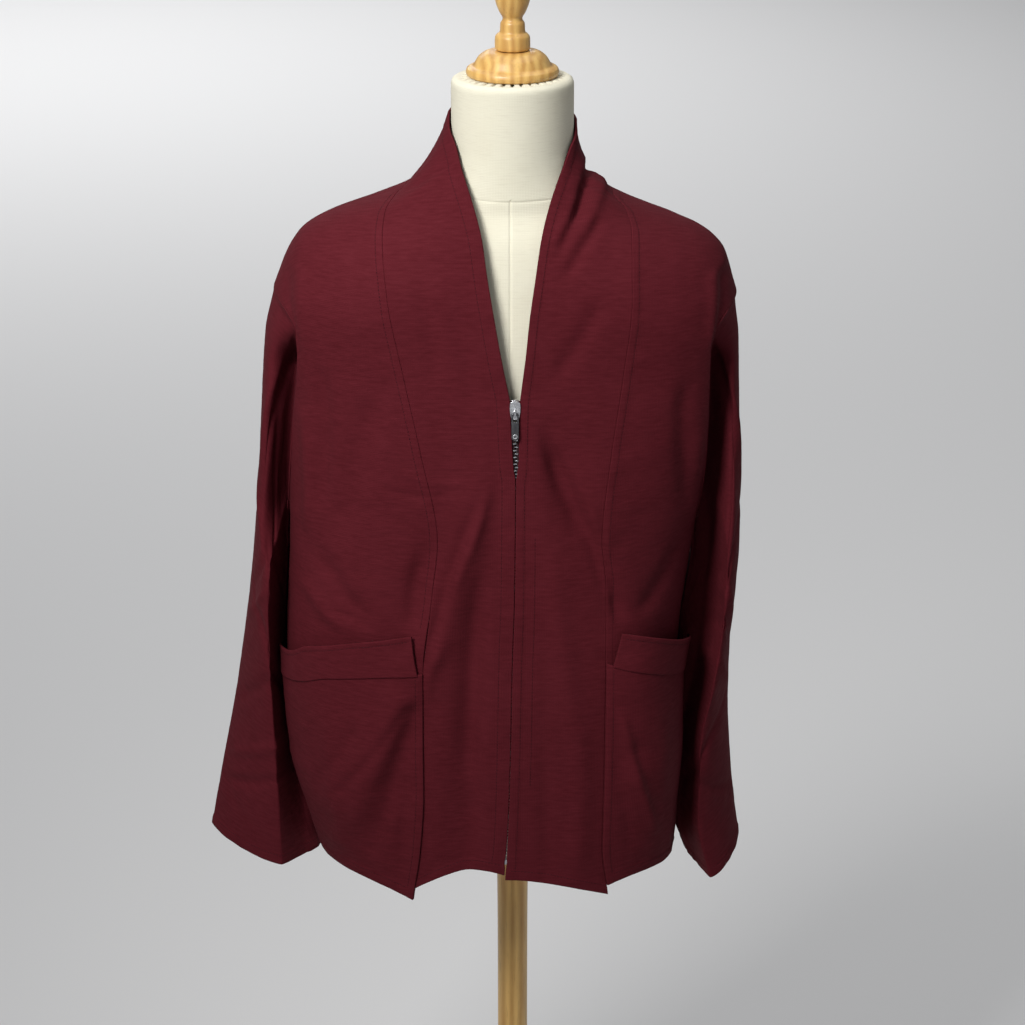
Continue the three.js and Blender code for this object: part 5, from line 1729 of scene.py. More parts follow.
class Graph:
    """A material's node tree, with short ways to add and join nodes."""

    def __init__(self, name: str, slot: Slot, metallic: float = 0.0) -> None:
        """Make the material with its shader.

        Args:
            name: The material's name.
            slot: The slot that it is meant for; it is kept, and not used otherwise.
            metallic: The shader's metalness.
        """
        self.material = bpy.data.materials.new(name)
        self.material.use_nodes = True
        self.slot = slot
        self.tree = self.material.node_tree
        self.shader = self.tree.nodes["Principled BSDF"]
        self.shader.inputs["Metallic"].default_value = metallic

    def set(self, socket: str, value: float | Sequence[float]) -> None:
        """Give one of the shader's inputs the same value all over."""
        self.shader.inputs[socket].default_value = value

    def add(
        self, kind: str, values: dict | None = None, **settings: str
    ) -> bpy.types.Node:
        """Add a node.

        Args:
            kind: The node's type.
            values: What its inputs are set or joined to, by name or number.
            **settings: The node's own attributes.

        Returns:
            The node.
        """
        node = self.tree.nodes.new(kind)
        for key, value in settings.items():
            setattr(node, key, value)
        for key, value in (values or {}).items():
            if isinstance(value, bpy.types.NodeSocket):
                self.tree.links.new(value, node.inputs[key])
            else:
                node.inputs[key].default_value = value
        return node

    def join(self, output: Socket, socket: str) -> None:
        """Join a node's output to one of the shader's inputs."""
        self.tree.links.new(output, self.shader.inputs[socket])

    def scaled(self, where: Socket, stretch: tuple[float, float, float]) -> Socket:
        """Coordinates with each axis scaled."""
        return self.add("ShaderNodeMapping", {"Vector": where, "Scale": stretch}).outputs[0]

    def place(self, stretch: tuple[float, float, float]) -> Socket:
        """The object's own coordinates, scaled."""
        return self.scaled(self.add("ShaderNodeTexCoord").outputs["Object"], stretch)

    def cloth_place(self, stretch: tuple[float, float, float]) -> Socket:
        """Coordinates along the cloth in metres, scaled."""
        return self.scaled(self.add("ShaderNodeUVMap", uv_map="cloth").outputs[0], stretch)

    def noise(
        self, place: Socket, scale: float, detail: float = 3.0, roughness: float = 0.55
    ) -> Socket:
        """A noise texture's value."""
        values = {"Vector": place, "Scale": scale, "Detail": detail, "Roughness": roughness}
        return self.add("ShaderNodeTexNoise", values).outputs[0]

    def wave(
        self, place: Socket, scale: float, direction: str, distort: float = 0.0
    ) -> Socket:
        """A sine wave texture's value, for threads."""
        values = {"Vector": place, "Scale": scale, "Distortion": distort, "Detail Scale": 2.0}
        node = self.add("ShaderNodeTexWave", values, bands_direction=direction)
        return node.outputs["Fac"]

    def blend(self, factor: Socket, low: Colour | Socket, high: Colour | Socket) -> Socket:
        """A colour between two.

        Args:
            factor: 0 for the low colour, 1 for the high one.
            low: The low colour, or a node's output.
            high: The high colour, or a node's output.

        Returns:
            The blended colour.
        """
        node = self.add("ShaderNodeMix", data_type="RGBA")
        self.tree.links.new(factor, node.inputs["Factor"])
        for socket, colour in ((node.inputs["A"], low), (node.inputs["B"], high)):
            if isinstance(colour, bpy.types.NodeSocket):
                self.tree.links.new(colour, socket)
            else:
                socket.default_value = (*colour, 1.0)
        return node.outputs["Result"]

    def span(
        self, value: Socket, low: float, high: float, to_low: float = 0.0, to_high: float = 1.0
    ) -> Socket:
        """A value mapped from one span to another, and clamped."""
        names = ("Value", "From Min", "From Max", "To Min", "To Max")
        return self.add(
            "ShaderNodeMapRange", dict(zip(names, (value, low, high, to_low, to_high)))
        ).outputs[0]

    def math(self, operation: str, first: Socket, second: Socket | float = 0.0) -> Socket:
        """Two values put together."""
        return self.add("ShaderNodeMath", {0: first, 1: second}, operation=operation).outputs[0]

    def bumps(
        self, height: Socket, distance: float, strength: float = 1.0, under: Socket | None = None
    ) -> Socket:
        """A bump's normal, over another one if given."""
        values = {"Height": height, "Distance": distance, "Strength": strength}
        if under is not None:
            values["Normal"] = under
        return self.add("ShaderNodeBump", values).outputs[0]

    def lay_on(self, piece: bpy.types.Object) -> None:
        """Dress a piece in the material."""
        piece.data.materials.clear()
        piece.data.materials.append(self.material)


Colour = tuple[float, float, float]
# The wave texture's scale is the number of threads in a metre over this.
WAVE_TURN = 6.2832


@dataclass(frozen=True)
class CrepeFinish:
    """A matt slubby crepe, with painted shade in its hollows and between its threads.

    Attributes:
        name: The material's name.
        slot: The record's slot.
        thread: The threads' own colour.
        hollow: Painted shade: the darker colour laid between the threads and in the slubs'
            hollows.
        worn: The colour of rubbed threads.
        weave: Threads in a metre.
        slub_height: Height of the slubs, in metres.
        sheen: The sheen's weight.
    """

    name: str
    slot: Slot
    thread: Colour
    hollow: Colour
    worn: Colour
    weave: float = 1150.0
    slub_height: float = 0.0002
    sheen: float = 0.04

    def make(self) -> Graph:
        """Make the finish.

        Returns:
            Its material.
        """
        graph = Graph(self.name, self.slot)
        slubs = graph.noise(graph.cloth_place((60.0, 380.0, 1.0)), 1.0, 4.0, 0.62)
        fine = graph.noise(graph.cloth_place((160.0, 900.0, 1.0)), 1.0, 2.0)
        patches = graph.noise(graph.cloth_place((1, 1, 1)), 9.0, 4.0, 0.6)
        warp = graph.wave(graph.cloth_place((1, 1, 1)), self.weave / WAVE_TURN, "X", 0.6)
        weft = graph.wave(graph.cloth_place((1, 1, 1)), self.weave / WAVE_TURN, "Y", 0.9)
        threads = graph.math("MULTIPLY", warp, weft)
        coarse = graph.math("MULTIPLY", slubs, 0.8)
        height = graph.math("ADD", coarse, graph.math("MULTIPLY", fine, 0.2))
        # Painted shade: the colour falls to the hollow colour where the slubs' bump height is
        # low, and rises to the thread colour where it is high.
        lit = graph.span(height, 0.34, 0.68)
        colour = graph.blend(lit, self.hollow, self.thread)
        rubbed = graph.span(patches, 0.48, 0.8, 0.0, 0.45)
        colour = graph.blend(rubbed, colour, self.worn)
        # Painted shade between the threads: the thread colour is mixed in only over the threads'
        # crowns.
        depth = graph.span(threads, 0.0, 1.0, 0.0, 0.3)
        colour = graph.blend(depth, colour, self.thread)
        graph.join(colour, "Base Color")
        graph.join(graph.span(slubs, 0.3, 0.7, 0.95, 0.82), "Roughness")
        rough = graph.bumps(height, self.slub_height)
        graph.join(graph.bumps(threads, 0.00016, 0.8, rough), "Normal")
        graph.set("Specular IOR Level", 0.12)
        graph.set("Sheen Weight", self.sheen)
        graph.set("Sheen Roughness", 0.5)
        graph.set("Sheen Tint", (*self.worn, 1.0))
        return graph


@dataclass(frozen=True)
class ThreadFinish:
    """A twisted sewing thread."""

    name: str
    slot: Slot
    colour: Colour
    shade: Colour

    def make(self) -> Graph:
        """Make the finish.

        Returns:
            Its material.
        """
        graph = Graph(self.name, self.slot)
        place = graph.place((1.0, 1.0, 1.0))
        twist = graph.wave(place, 620.0, "DIAGONAL", 0.4)
        patch = graph.noise(place, 60.0)
        both = graph.math("MULTIPLY", twist, patch)
        graph.join(graph.blend(both, self.shade, self.colour), "Base Color")
        graph.join(graph.bumps(twist, 0.0001), "Normal")
        graph.set("Roughness", 0.8)
        graph.set("Specular IOR Level", 0.15)
        return graph


@dataclass(frozen=True)
class TapeFinish:
    """A zip's woven tape, with ribs along it and a herringbone across."""

    name: str
    slot: Slot
    colour: Colour
    shade: Colour

    def make(self) -> Graph:
        """Make the finish.

        Returns:
            Its material.
        """
        graph = Graph(self.name, self.slot)
        place = graph.place((1.0, 1.0, 1.0))
        ribs = graph.wave(place, 260.0, "X")
        weft = graph.wave(place, 520.0, "Z", 0.5)
        dust = graph.noise(place, 90.0)
        both = graph.math("MULTIPLY", ribs, weft)
        graph.join(graph.blend(both, self.shade, self.colour), "Base Color")
        graph.join(graph.bumps(both, 0.0002), "Normal")
        graph.join(graph.span(dust, 0.3, 0.7, 0.75, 0.92), "Roughness")
        return graph


@dataclass(frozen=True)
class MetalFinish:
    """A zip's metal, with fine scratches and a dull film."""

    name: str
    slot: Slot
    colour: Colour
    dull: Colour
    gloss: float
    dulled: float

    def make(self) -> Graph:
        """Make the finish.

        Returns:
            Its material.
        """
        graph = Graph(self.name, self.slot, metallic=1.0)
        place = graph.place((1.0, 1.0, 1.0))
        scratches = graph.noise(graph.place((900.0, 900.0, 120.0)), 1.0, 3.0)
        film = graph.noise(place, 160.0, 4.0)
        graph.join(graph.blend(graph.span(film, 0.35, 0.7), self.colour, self.dull), "Base Color")
        graph.join(graph.span(scratches, 0.3, 0.7, self.gloss, self.dulled), "Roughness")
        graph.join(graph.bumps(scratches, 0.00004), "Normal")
        return graph


@dataclass(frozen=True)
class CanvasFinish:
    """A plain, tightly woven cream canvas, a little uneven and rubbed."""

    name: str
    slot: Slot
    colour: Colour
    shade: Colour
    rubbed: Colour

    def make(self) -> Graph:
        """Make the finish.

        Returns:
            Its material.
        """
        graph = Graph(self.name, self.slot)
        flat = graph.cloth_place((1.0, 1.0, 1.0))
        warp = graph.wave(flat, 210.0, "X", 0.5)
        weft = graph.wave(flat, 210.0, "Y", 0.5)
        threads = graph.math("MULTIPLY", warp, weft)
        patches = graph.noise(graph.place((1.0, 1.0, 1.0)), 14.0, 5.0)
        slubs = graph.noise(graph.cloth_place((60.0, 700.0, 1.0)), 1.0, 2.0)
        colour = graph.blend(graph.span(patches, 0.35, 0.7), self.colour, self.rubbed)
        colour = graph.blend(graph.span(threads, 0.0, 1.0, 0.16, 0.0), colour, self.shade)
        colour = graph.blend(graph.span(slubs, 0.5, 0.75, 0.0, 0.25), colour, self.shade)
        graph.join(colour, "Base Color")
        rough = graph.bumps(slubs, 0.00012)
        graph.join(graph.bumps(threads, 0.00012, 1.0, rough), "Normal")
        graph.join(graph.span(patches, 0.3, 0.7, 0.82, 0.95), "Roughness")
        graph.set("Specular IOR Level", 0.25)
        return graph


@dataclass(frozen=True)
class WoodFinish:
    """Turned, varnished wood.

    Attributes:
        name: The material's name.
        slot: The record's slot.
        light: The early wood's colour.
        dark: The late wood's colour.
        pore: The pores' colour.
        upright: Whether the grain runs along Z, and not along X.
    """

    name: str
    slot: Slot
    light: Colour
    dark: Colour
    pore: Colour
    upright: bool = True

    def stretch(self, graph: Graph, across: float, along: float) -> Socket:
        """Coordinates drawn out along the grain."""
        scale = (1.0, across, along) if self.upright else (along, across, 1.0)
        return graph.place(scale)

    def make(self) -> Graph:
        """Make the finish.

        Returns:
            Its material.
        """
        graph = Graph(self.name, self.slot)
        stretched = self.stretch(graph, 1.0, 0.16)
        direction, lines = ("X", 34.0) if self.upright else ("Y", 17.0)
        rings = graph.wave(self.stretch(graph, 1.0, 0.12), lines, direction, 3.2)
        grain = graph.noise(stretched, 120.0, 5.0, 0.6)
        pores = graph.noise(self.stretch(graph, 1.0, 0.05), 900.0, 2.0)
        mottle = graph.noise(stretched, 16.0, 3.0)
        ringed = graph.math("MULTIPLY", rings, 0.45)
        mix = graph.math("ADD", ringed, graph.math("MULTIPLY", grain, 0.6))
        colour = graph.blend(graph.span(mix, 0.2, 0.85), self.dark, self.light)
        colour = graph.blend(graph.span(pores, 0.6, 0.75, 0.0, 0.5), colour, self.pore)
        colour = graph.blend(graph.span(mottle, 0.55, 0.8, 0.0, 0.3), colour, self.dark)
        graph.join(colour, "Base Color")
        graph.join(graph.span(mottle, 0.3, 0.7, 0.34, 0.5), "Roughness")
        graph.join(graph.bumps(grain, 0.00012, 0.6), "Normal")
        graph.set("Coat Weight", 0.25)
        graph.set("Coat Roughness", 0.25)
        return graph


CREPE = CrepeFinish(
    "maroon_crepe",
    Slot.CLOTH,
    thread=(0.100, 0.0096, 0.0160),
    # The hollow colour is painted shade, laid in the slubs' hollows and between the threads.
    hollow=(0.072, 0.0062, 0.0104),
    worn=(0.114, 0.0130, 0.0205),
)
MAROON_THREAD = ThreadFinish(
    "maroon_thread", Slot.CLOTH, colour=(0.100, 0.010, 0.017), shade=(0.034, 0.004, 0.007)
)
MAROON_TAPE = TapeFinish(
    "maroon_tape", Slot.TAPE, colour=(0.060, 0.012, 0.018), shade=(0.020, 0.004, 0.007)
)
BRIGHT_STEEL = MetalFinish(
    "bright_steel", Slot.METAL, (0.86, 0.87, 0.90), (0.55, 0.56, 0.60), 0.16, 0.34
)
DULL_STEEL = MetalFinish(
    "dull_steel", Slot.METAL, (0.16, 0.16, 0.17), (0.09, 0.09, 0.10), 0.30, 0.5
)
CREAM_CANVAS = CanvasFinish(
    "cream_canvas", Slot.CANVAS, (0.80, 0.775, 0.64), (0.58, 0.54, 0.42), (0.76, 0.73, 0.59)
)
HONEY_WOOD = WoodFinish(
    "honey_wood", Slot.WOOD, (0.78, 0.50, 0.16), (0.52, 0.27, 0.07), (0.26, 0.12, 0.035)
)
HONEY_BOARD = replace(HONEY_WOOD, name="honey_board", upright=False)


# ------------------------------------------------------------------------ jacket's build


class Piece:
    """Ways to make a finished piece part of the frame."""

    @staticmethod
    def carry(
        piece: bpy.types.Object, finish: Graph, nodes: Sequence[str] = (), body: str = BODY
    ) -> bpy.types.Object:
        """Dress a piece and let it stand for the frame's nodes.

        Args:
            piece: The piece.
            finish: What it's made of.
            nodes: The frame's nodes that it replaces.
            body: The body that it moves with.

        Returns:
            The piece.
        """
        finish.lay_on(piece)
        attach(piece, body)
        if nodes:
            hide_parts(*nodes)
        LOG.info("%s: %d faces on %s", piece.name, len(piece.data.polygons), body)
        return piece


@dataclass
class Jacket:
    """The jacket's cloth: its panels, sleeves, patch pockets and topstitching.

    Attributes:
        cloth: The cloth's finish.
        thread: The topstitching's finish.
        band_stitch: From the band's top edge to its stitching.
        placket_stitch: From the wearer's-left front edge to its second stitching.
    """

    cloth: Graph
    thread: Graph
    band_stitch: float = 5.0
    placket_stitch: float = 20.0
    shells: dict[str, Shell] = field(default_factory=dict)
    pieces: dict[str, bpy.types.Object] = field(default_factory=dict)
    threads: Threads = field(default_factory=lambda: Threads("topstitching"))

    def panel(
        self,
        name: str,
        surface: np.ndarray,
        turn: int,
        edges: tuple[Edge, Edge, Edge, Edge],
        **options: bool | tuple[float, float] | Callable[[Shell], np.ndarray],
    ) -> None:
        """Work out one panel's shell and keep it.

        Args:
            name: The panel's name.
            surface: Its outer surface.
            turn: 1 or -1, so that normals point out.
            edges: The work at the start, end, foot and top of its grid.
            **options: The shell's other fields.
        """
        self.shells[name] = Shell(name, surface, turn, edges, **options)

    def cut(self) -> None:
        """Work out every panel's shell."""
        backs = {}
        for side in Side:
            side_front, back_half = side_front_grid(side), back_half_grid(side)
            backs[side] = back_half
            front = front_grid(side, side_front, back_half)
            sleeve = sleeve_grid(side, side_front, back_half)
            self.cut_side(side, front, side_front, sleeve)
        whole = np.concatenate([backs[Side.RIGHT][:, :0:-1], backs[Side.LEFT]], axis=1)
        self.panel(
            "back",
            whole,
            -1,
            (Edge.SEAM, Edge.SEAM, Edge.HEM, Edge.SEAM),
            step=(4.4, 3.6),
            relief=BodyRelief(Face.BACK, Crumple(seed=60)),
        )

    def cut_side(
        self, side: Side, front: np.ndarray, side_front: np.ndarray, sleeve: np.ndarray
    ) -> None:
        """Work out one side's shells.

        Args:
            side: The side.
            front: The centre front's grid.
            side_front: The side front's grid.
            sleeve: The sleeve's grid.
        """
        key, turn = side.key, side.value
        right = side is Side.RIGHT
        edge = Edge.LAPEL if right else Edge.FREE
        self.panel(
            f"front_{key}",
            front,
            turn,
            (edge, Edge.SEAM, Edge.HEM, Edge.SEAM),
            relief=BodyRelief(Face.FRONT, Crumple(seed=11 + turn), 1.5 if right else 1.0),
        )
        self.panel(
            f"side_front_{key}",
            side_front,
            turn,
            (Edge.STITCHED_SEAM, Edge.SEAM, Edge.HEM, Edge.SEAM),
            relief=BodyRelief(
                Face.FRONT, Crumple(0.22, 0.75, 23 + turn), 1.0, 0.5, POCKETS[side]
            ),
        )
        creases = RIGHT_SLEEVE_CREASES if right else LEFT_SLEEVE_CREASES
        self.panel(
            f"sleeve_{key}",
            sleeve,
            turn,
            (Edge.NONE, Edge.NONE, Edge.SEAM, Edge.HEM),
            closed=True,
            step=(3.4, 3.9),
            relief=SleeveRelief(creases, Crumple(seed=37 + turn)),
        )
        self.cut_pocket(side, side_front)

    def cut_pocket(self, side: Side, side_front: np.ndarray) -> None:
        """Work out one pocket's pouch and band.

        Args:
            side: The side that it is on.
            side_front: The side front's grid.
        """
        key, turn, pocket = side.key, side.value, POCKETS[side]
        hem = HEMS[f"side_front_{key}"]

        def belly(share: np.ndarray) -> np.ndarray:
            """How far the patch's fullness stands off across its width."""
            return POCKET_EASE * np.maximum(np.sin(math.pi * share), 0) ** POCKET_FULLNESS

        def pouch_out(share: np.ndarray, rise: float) -> np.ndarray:
            """How far the pouch stands off the panel."""
            return POUCH_FOOTING + belly(share) * math.sin(rise * math.pi / 2)

        def band_out(share: np.ndarray, rise: float) -> np.ndarray:
            """How far the band stands off, with its gape towards the side."""
            gaping = rise * pocket.gape * share**GAPE_POWER
            return BAND_FOOTING + belly(share) + gaping

        pouch = patch_grid(
            side_front,
            turn,
            lambda share: hem_height(hem, share),
            lambda share: pocket.foot(share) + POUCH_LAP,
            pouch_out,
            (0, 0, 1),
            POUCH_ROWS,
        )
        band = patch_grid(
            side_front,
            turn,
            pocket.foot,
            pocket.top,
            band_out,
            (*pocket.starts, BAND_END),
            BAND_ROWS,
        )
        right = side is Side.RIGHT
        rucks = RIGHT_RUCKS if right else LEFT_RUCKS
        self.panel(
            f"pocket_pouch_{key}",
            pouch,
            turn,
            (Edge.STITCHED_SEAM, Edge.SEAM, Edge.HEM, Edge.SEAM),
            step=(2.6, 2.2),
            relief=PocketRelief(
                Crumple(0.3 if right else 0.14, 0.8, 51 + turn), 1.2, rucks
            ),
        )
        self.panel(
            f"pocket_band_{key}",
            band,
            turn,
            (Edge.SEAM, Edge.SEAM, Edge.SEAM, Edge.BAND),
            step=(2.2, 1.8),
            relief=PocketRelief(Crumple(0.14, 0.5, 71 + turn), 0.5),
        )

    def sew(self) -> None:
        """Lay the rows of topstitching."""
        shells, threads = self.shells, self.threads
        for side in Side:
            key = side.key
            pocket = POCKETS[side]
            princess = inside_line(shells[f"side_front_{key}"], 0, SEAM_STITCH, 0, 8)
            threads.sew(above(princess, pocket.top(0) + 4))
            pouch = shells[f"pocket_pouch_{key}"]
            threads.sew(inside_line(pouch, 0, SEAM_STITCH, 10, 2))
            threads.sew(inside_line(pouch, 2, HEM_STITCH, 8, 2))
            threads.sew(inside_line(shells[f"pocket_band_{key}"], 3, self.band_stitch, 2, 2))
            front = shells[f"front_{key}"]
            threads.sew(inside_line(front, 0, EDGE_WORK[front.edges[0]].stitch, 10, 1))
            threads.sew(inside_line(front, 2, HEM_STITCH, 2, 1))
            sleeve = shells[f"sleeve_{key}"]
            threads.sew(inside_line(sleeve, 3, HEM_STITCH))
        second = inside_line(shells["front_left"], 0, self.placket_stitch, 100, 0)
        threads.sew(below(second, 1020.0))
        threads.sew(inside_line(shells["back"], 2, HEM_STITCH, 1, 1))

    def declare(self) -> None:
        """Log each sheet of cloth's cut size and area."""
        for name, shell in self.shells.items():
            if name.startswith("pocket"):
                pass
            elif name.startswith("sleeve"):
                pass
            else:
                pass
            width, length = shell.flat_size()
            shell.area()
            LOG.info("%s: cut %.3f x %.3f m, %.4f m2", name, width, length, shell.area())

    def build(self) -> None:
        """Make the whole jacket."""
        self.cut()
        for name, shell in self.shells.items():
            shell.name = f"cloth_{name}"
            self.pieces[name] = Piece.carry(shell.build(), self.cloth, [name])
        self.sew()
        Piece.carry(self.threads.build(), self.thread)


def above(line: tuple[np.ndarray, np.ndarray], z: float) -> tuple[np.ndarray, np.ndarray]:
    """The part of a line that is over a height."""
    kept = line[0][:, 2] > z
    return line[0][kept], line[1][kept]


def below(line: tuple[np.ndarray, np.ndarray], z: float) -> tuple[np.ndarray, np.ndarray]:
    """The part of a line that is under a height."""
    kept = line[0][:, 2] < z
    return line[0][kept], line[1][kept]


# ------------------------------------------------------------------------------ the zip


def flat_plate(
    name: str, loops: Sequence[np.ndarray], thick: float, bevel: float
) -> bpy.types.Mesh:
    """A plate with rounded edges from outlines in its own plane.

    Args:
        name: The object's name.
        loops: The outline and then its holes, as (x, y) points in millimetres.
        thick: The plate's thickness.
        bevel: The rounding of its edges.

    Returns:
        The plate's mesh, in metres, with its plane at Z = 0.
    """
    curve = bpy.data.curves.new(name, "CURVE")
    curve.dimensions = "2D"
    curve.fill_mode = "BOTH"
    curve.extrude = (thick / 2 - bevel) * MM
    curve.bevel_depth = bevel * MM
    curve.bevel_resolution = 3
    curve.offset = -bevel * MM
    for loop in loops:
        spline = curve.splines.new("POLY")
        spline.points.add(len(loop) - 1)
        flat = np.zeros((len(loop), 4))
        flat[:, :2], flat[:, 3] = np.array(loop) * MM, 1
        spline.points.foreach_set("co", flat.ravel())
        spline.use_cyclic_u = True
    holder = bpy.data.objects.new(name, curve)
    bpy.context.scene.collection.objects.link(holder)
    graph = bpy.context.evaluated_depsgraph_get()
    mesh = bpy.data.meshes.new_from_object(holder.evaluated_get(graph))
    bpy.data.objects.remove(holder)
    bpy.data.curves.remove(curve)
    mesh.name = name
    return mesh


def arc(x: float, y: float, radius: float, start: float, end: float, steps: int) -> list:
    """Points on an arc, its angles in degrees."""
    angles = np.radians(np.linspace(start, end, steps + 1))
    return [(x + radius * math.cos(a), y + radius * math.sin(a)) for a in angles]


def rounded(
    corners: Sequence[tuple[float, float]], passes: int = 3, share: float = 0.22
) -> np.ndarray:
    """A closed outline with its corners cut off again and again.

    Args:
        corners: The outline's corners.
        passes: How often they're cut.
        share: How much of each side is cut, the first time.

    Returns:
        The rounded outline.
    """
    line = np.array(corners, dtype=float)
    for i in range(passes):
        cut = share if i == 0 else 0.25
        ahead = np.roll(line, -1, axis=0)
        line = np.stack([lerp(line, ahead, cut), lerp(line, ahead, 1 - cut)], axis=1)
        line = line.reshape(-1, 2)
    return line


def joined(name: str, meshes: Sequence[tuple[bpy.types.Mesh, Matrix]]) -> bpy.types.Object:
    """One smooth object from several meshes.

    Args:
        name: The object's name.
        meshes: Each mesh and where it goes.

    Returns:
        The object.
    """
    points, faces, count = [], [], 0
    for mesh, matrix in meshes:
        mesh.transform(matrix)
        points += [tuple(v.co) for v in mesh.vertices]
        faces += [[i + count for i in face.vertices] for face in mesh.polygons]
        count += len(mesh.vertices)
        bpy.data.meshes.remove(mesh)
    whole = bpy.data.meshes.new(name)
    whole.from_pydata(points, [], faces)
    whole.update()
    piece = bpy.data.objects.new(name, whole)
    bpy.context.scene.collection.objects.link(piece)
    soften(piece)
    return piece


def soften(piece: bpy.types.Object, angle: float = 40.0) -> None:
    """Shade a piece smooth, but for edges sharper than an angle in degrees."""
    piece.data.shade_smooth()
    piece.data.set_sharp_from_angle(angle=math.radians(angle))


# A tooth's sections from its foot to its tip: how far along, and half its height.
TOOTH_PROFILE = ((0.0, 0.8), (0.6, 0.85), (1.3, 0.95), (2.3, 0.95), (2.9, 0.7), (3.2, 0.45))
TOOTH_SIDES = 8
TOOTH_POWER = 0.6
TOOTH_HEIGHT = 0.82
TOOTH_OVERLAP = 0.35
# A tooth's depth to each side of its middle, at its foot and past the cord.
FOOT_WALL, TIP_WALL, FOOT_LENGTH = 1.15, 0.8, 1.6


@dataclass
class Zip:
    """The zip: its tapes, teeth, bottom stop, slider and pull tab.

    Attributes:
        tape: The tapes' finish.
        steel: The slider's and stop's finish.
        dark: The pull tab's finish.
    """

    tape: Graph
    steel: Graph
    dark: Graph
    tape_inner: float = 1.0
    tape_outer: float = 14.0
    tape_thick: float = 0.8
    tape_bottom: float = 673.0
    tape_top: float = 1149.0
    cord: float = 0.75
    behind: float = 2.6
    tooth_pitch: float = 6.6
    tooth_reach: float = 2.6
    teeth_bottom: float = 685.5
    teeth_top: float = 1131.5
    stop_low: float = 677.5
    stop_high: float = 683.5
    slider_middle: float = 1141.0
    slider_height: float = 18.0

    @staticmethod
    def face_y(z: Values) -> np.ndarray:
        """The cloth's face at the zip's line."""
        x = SURFACE.zip_x(z)
        return SURFACE.point(Side.LEFT, Face.FRONT, x, z)[..., 1]

    def build_tape(self, side: Side) -> None:
        """Make one tape, with its corded inner edge.

        Args:
            side: The side that it is on.
        """
        section = []
        low, high = self.tape_inner, self.tape_outer
        bead = low + self.cord
        for angle in np.linspace(40, 320, 9):
            a = math.radians(angle)
            section.append((bead + self.cord * math.cos(a), 0.5 - self.cord * math.sin(a)))
        section += [(high, 0.5 + self.tape_thick / 2), (high, 0.5 - self.tape_thick / 2)]
        z = np.linspace(self.tape_bottom, self.tape_top, 161)
        rings = []
        for height in z:
            x, y = float(SURFACE.zip_x(height)), float(self.face_y(height)) + self.behind
            rings.append([(x + side.value * a, y + b, height) for a, b in section])
        piece = loft(f"zip_tape_{side.key}_woven", np.array(rings), side is Side.LEFT)
        Piece.carry(piece, self.tape, [f"zip_tape_{side.key}"])

    def tooth_points(self, height: float, sign: int) -> list[tuple[float, float, float]]:
        """One tooth's points, ring by ring from its foot to its tip.

        Args:
            height: The tooth's middle.
            sign: The sign of X on its side.

        Returns:
            The points.
        """
        x = float(SURFACE.zip_x(height))
        y = float(self.face_y(height)) + self.behind + 0.5
        points = []
        for along, half in TOOTH_PROFILE:
            out = x + sign * (self.tooth_reach - along - TOOTH_OVERLAP)
            wall = FOOT_WALL if along < FOOT_LENGTH else TIP_WALL
            for k in range(TOOTH_SIDES):
                turn = 2 * math.pi * (k + 0.5) / TOOTH_SIDES
                deep = wall * signed_power(math.cos(turn), TOOTH_POWER)
                high = TOOTH_HEIGHT * half * signed_power(math.sin(turn), TOOTH_POWER)
                points.append((out, y + deep, height + high))
        return points

    def build_teeth(self) -> None:
        """Make the chain of teeth, left and right in turn."""
        points, faces, count = [], [], 0
        sides, last = TOOTH_SIDES, (len(TOOTH_PROFILE) - 1) * TOOTH_SIDES
        heights = np.arange(self.teeth_bottom, self.teeth_top, self.tooth_pitch / 2)
        for i, height in enumerate(heights):
            sign = 1 if i % 2 else -1
            points += self.tooth_points(float(height), sign)
            quads = []
            for foot in range(count, count + last, sides):
                for k in range(sides):
                    a, b = foot + k, foot + (k + 1) % sides
                    quads.append([a, b, b + sides, a + sides])
            start, tip = range(count, count + sides), range(count + last, count + last + sides)
            tooth = [*quads, list(start)[::-1], list(tip)]
            faces += tooth if sign < 0 else [face[::-1] for face in tooth]
            count += last + sides
        piece = mesh_object("zip_teeth", np.array(points), faces)
        soften(piece, 50)
        Piece.carry(piece, self.steel, ["zip_chain"])

    def build_stop(self) -> None:
        """Make the bottom stop."""
        middle = (self.stop_low + self.stop_high) / 2
        half = (self.stop_high - self.stop_low) / 2
        outline = rounded([(-2.7, -half), (2.7, -half), (2.7, half), (-2.7, half)], 3, 0.2)
        plate = flat_plate("stop", [outline], 2.6, 0.5)
        x, y = float(SURFACE.zip_x(middle)), float(self.face_y(middle)) + self.behind + 1.2
        stand = Matrix.Translation(Vector((x, y, middle)) * MM) @ Matrix.Rotation(
            math.pi / 2, 4, "X"
        )
        Piece.carry(joined("zip_stop", [(plate, stand)]), self.steel, ["zip_bottom_stop"])

    def slider_frame(self) -> Matrix:
        """The slider's place: its Z along the zip, its -Y out of the cloth."""
        half = self.slider_height / 2
        middle = self.slider_middle
        rise = float(self.face_y(middle + half) - self.face_y(middle - half))
        lean = -math.atan2(rise, self.slider_height)
        x, y = float(SURFACE.zip_x(middle)), float(self.face_y(middle))
        return Matrix.Translation(Vector((x, y, middle)) * MM) @ Matrix.Rotation(lean, 4, "X")

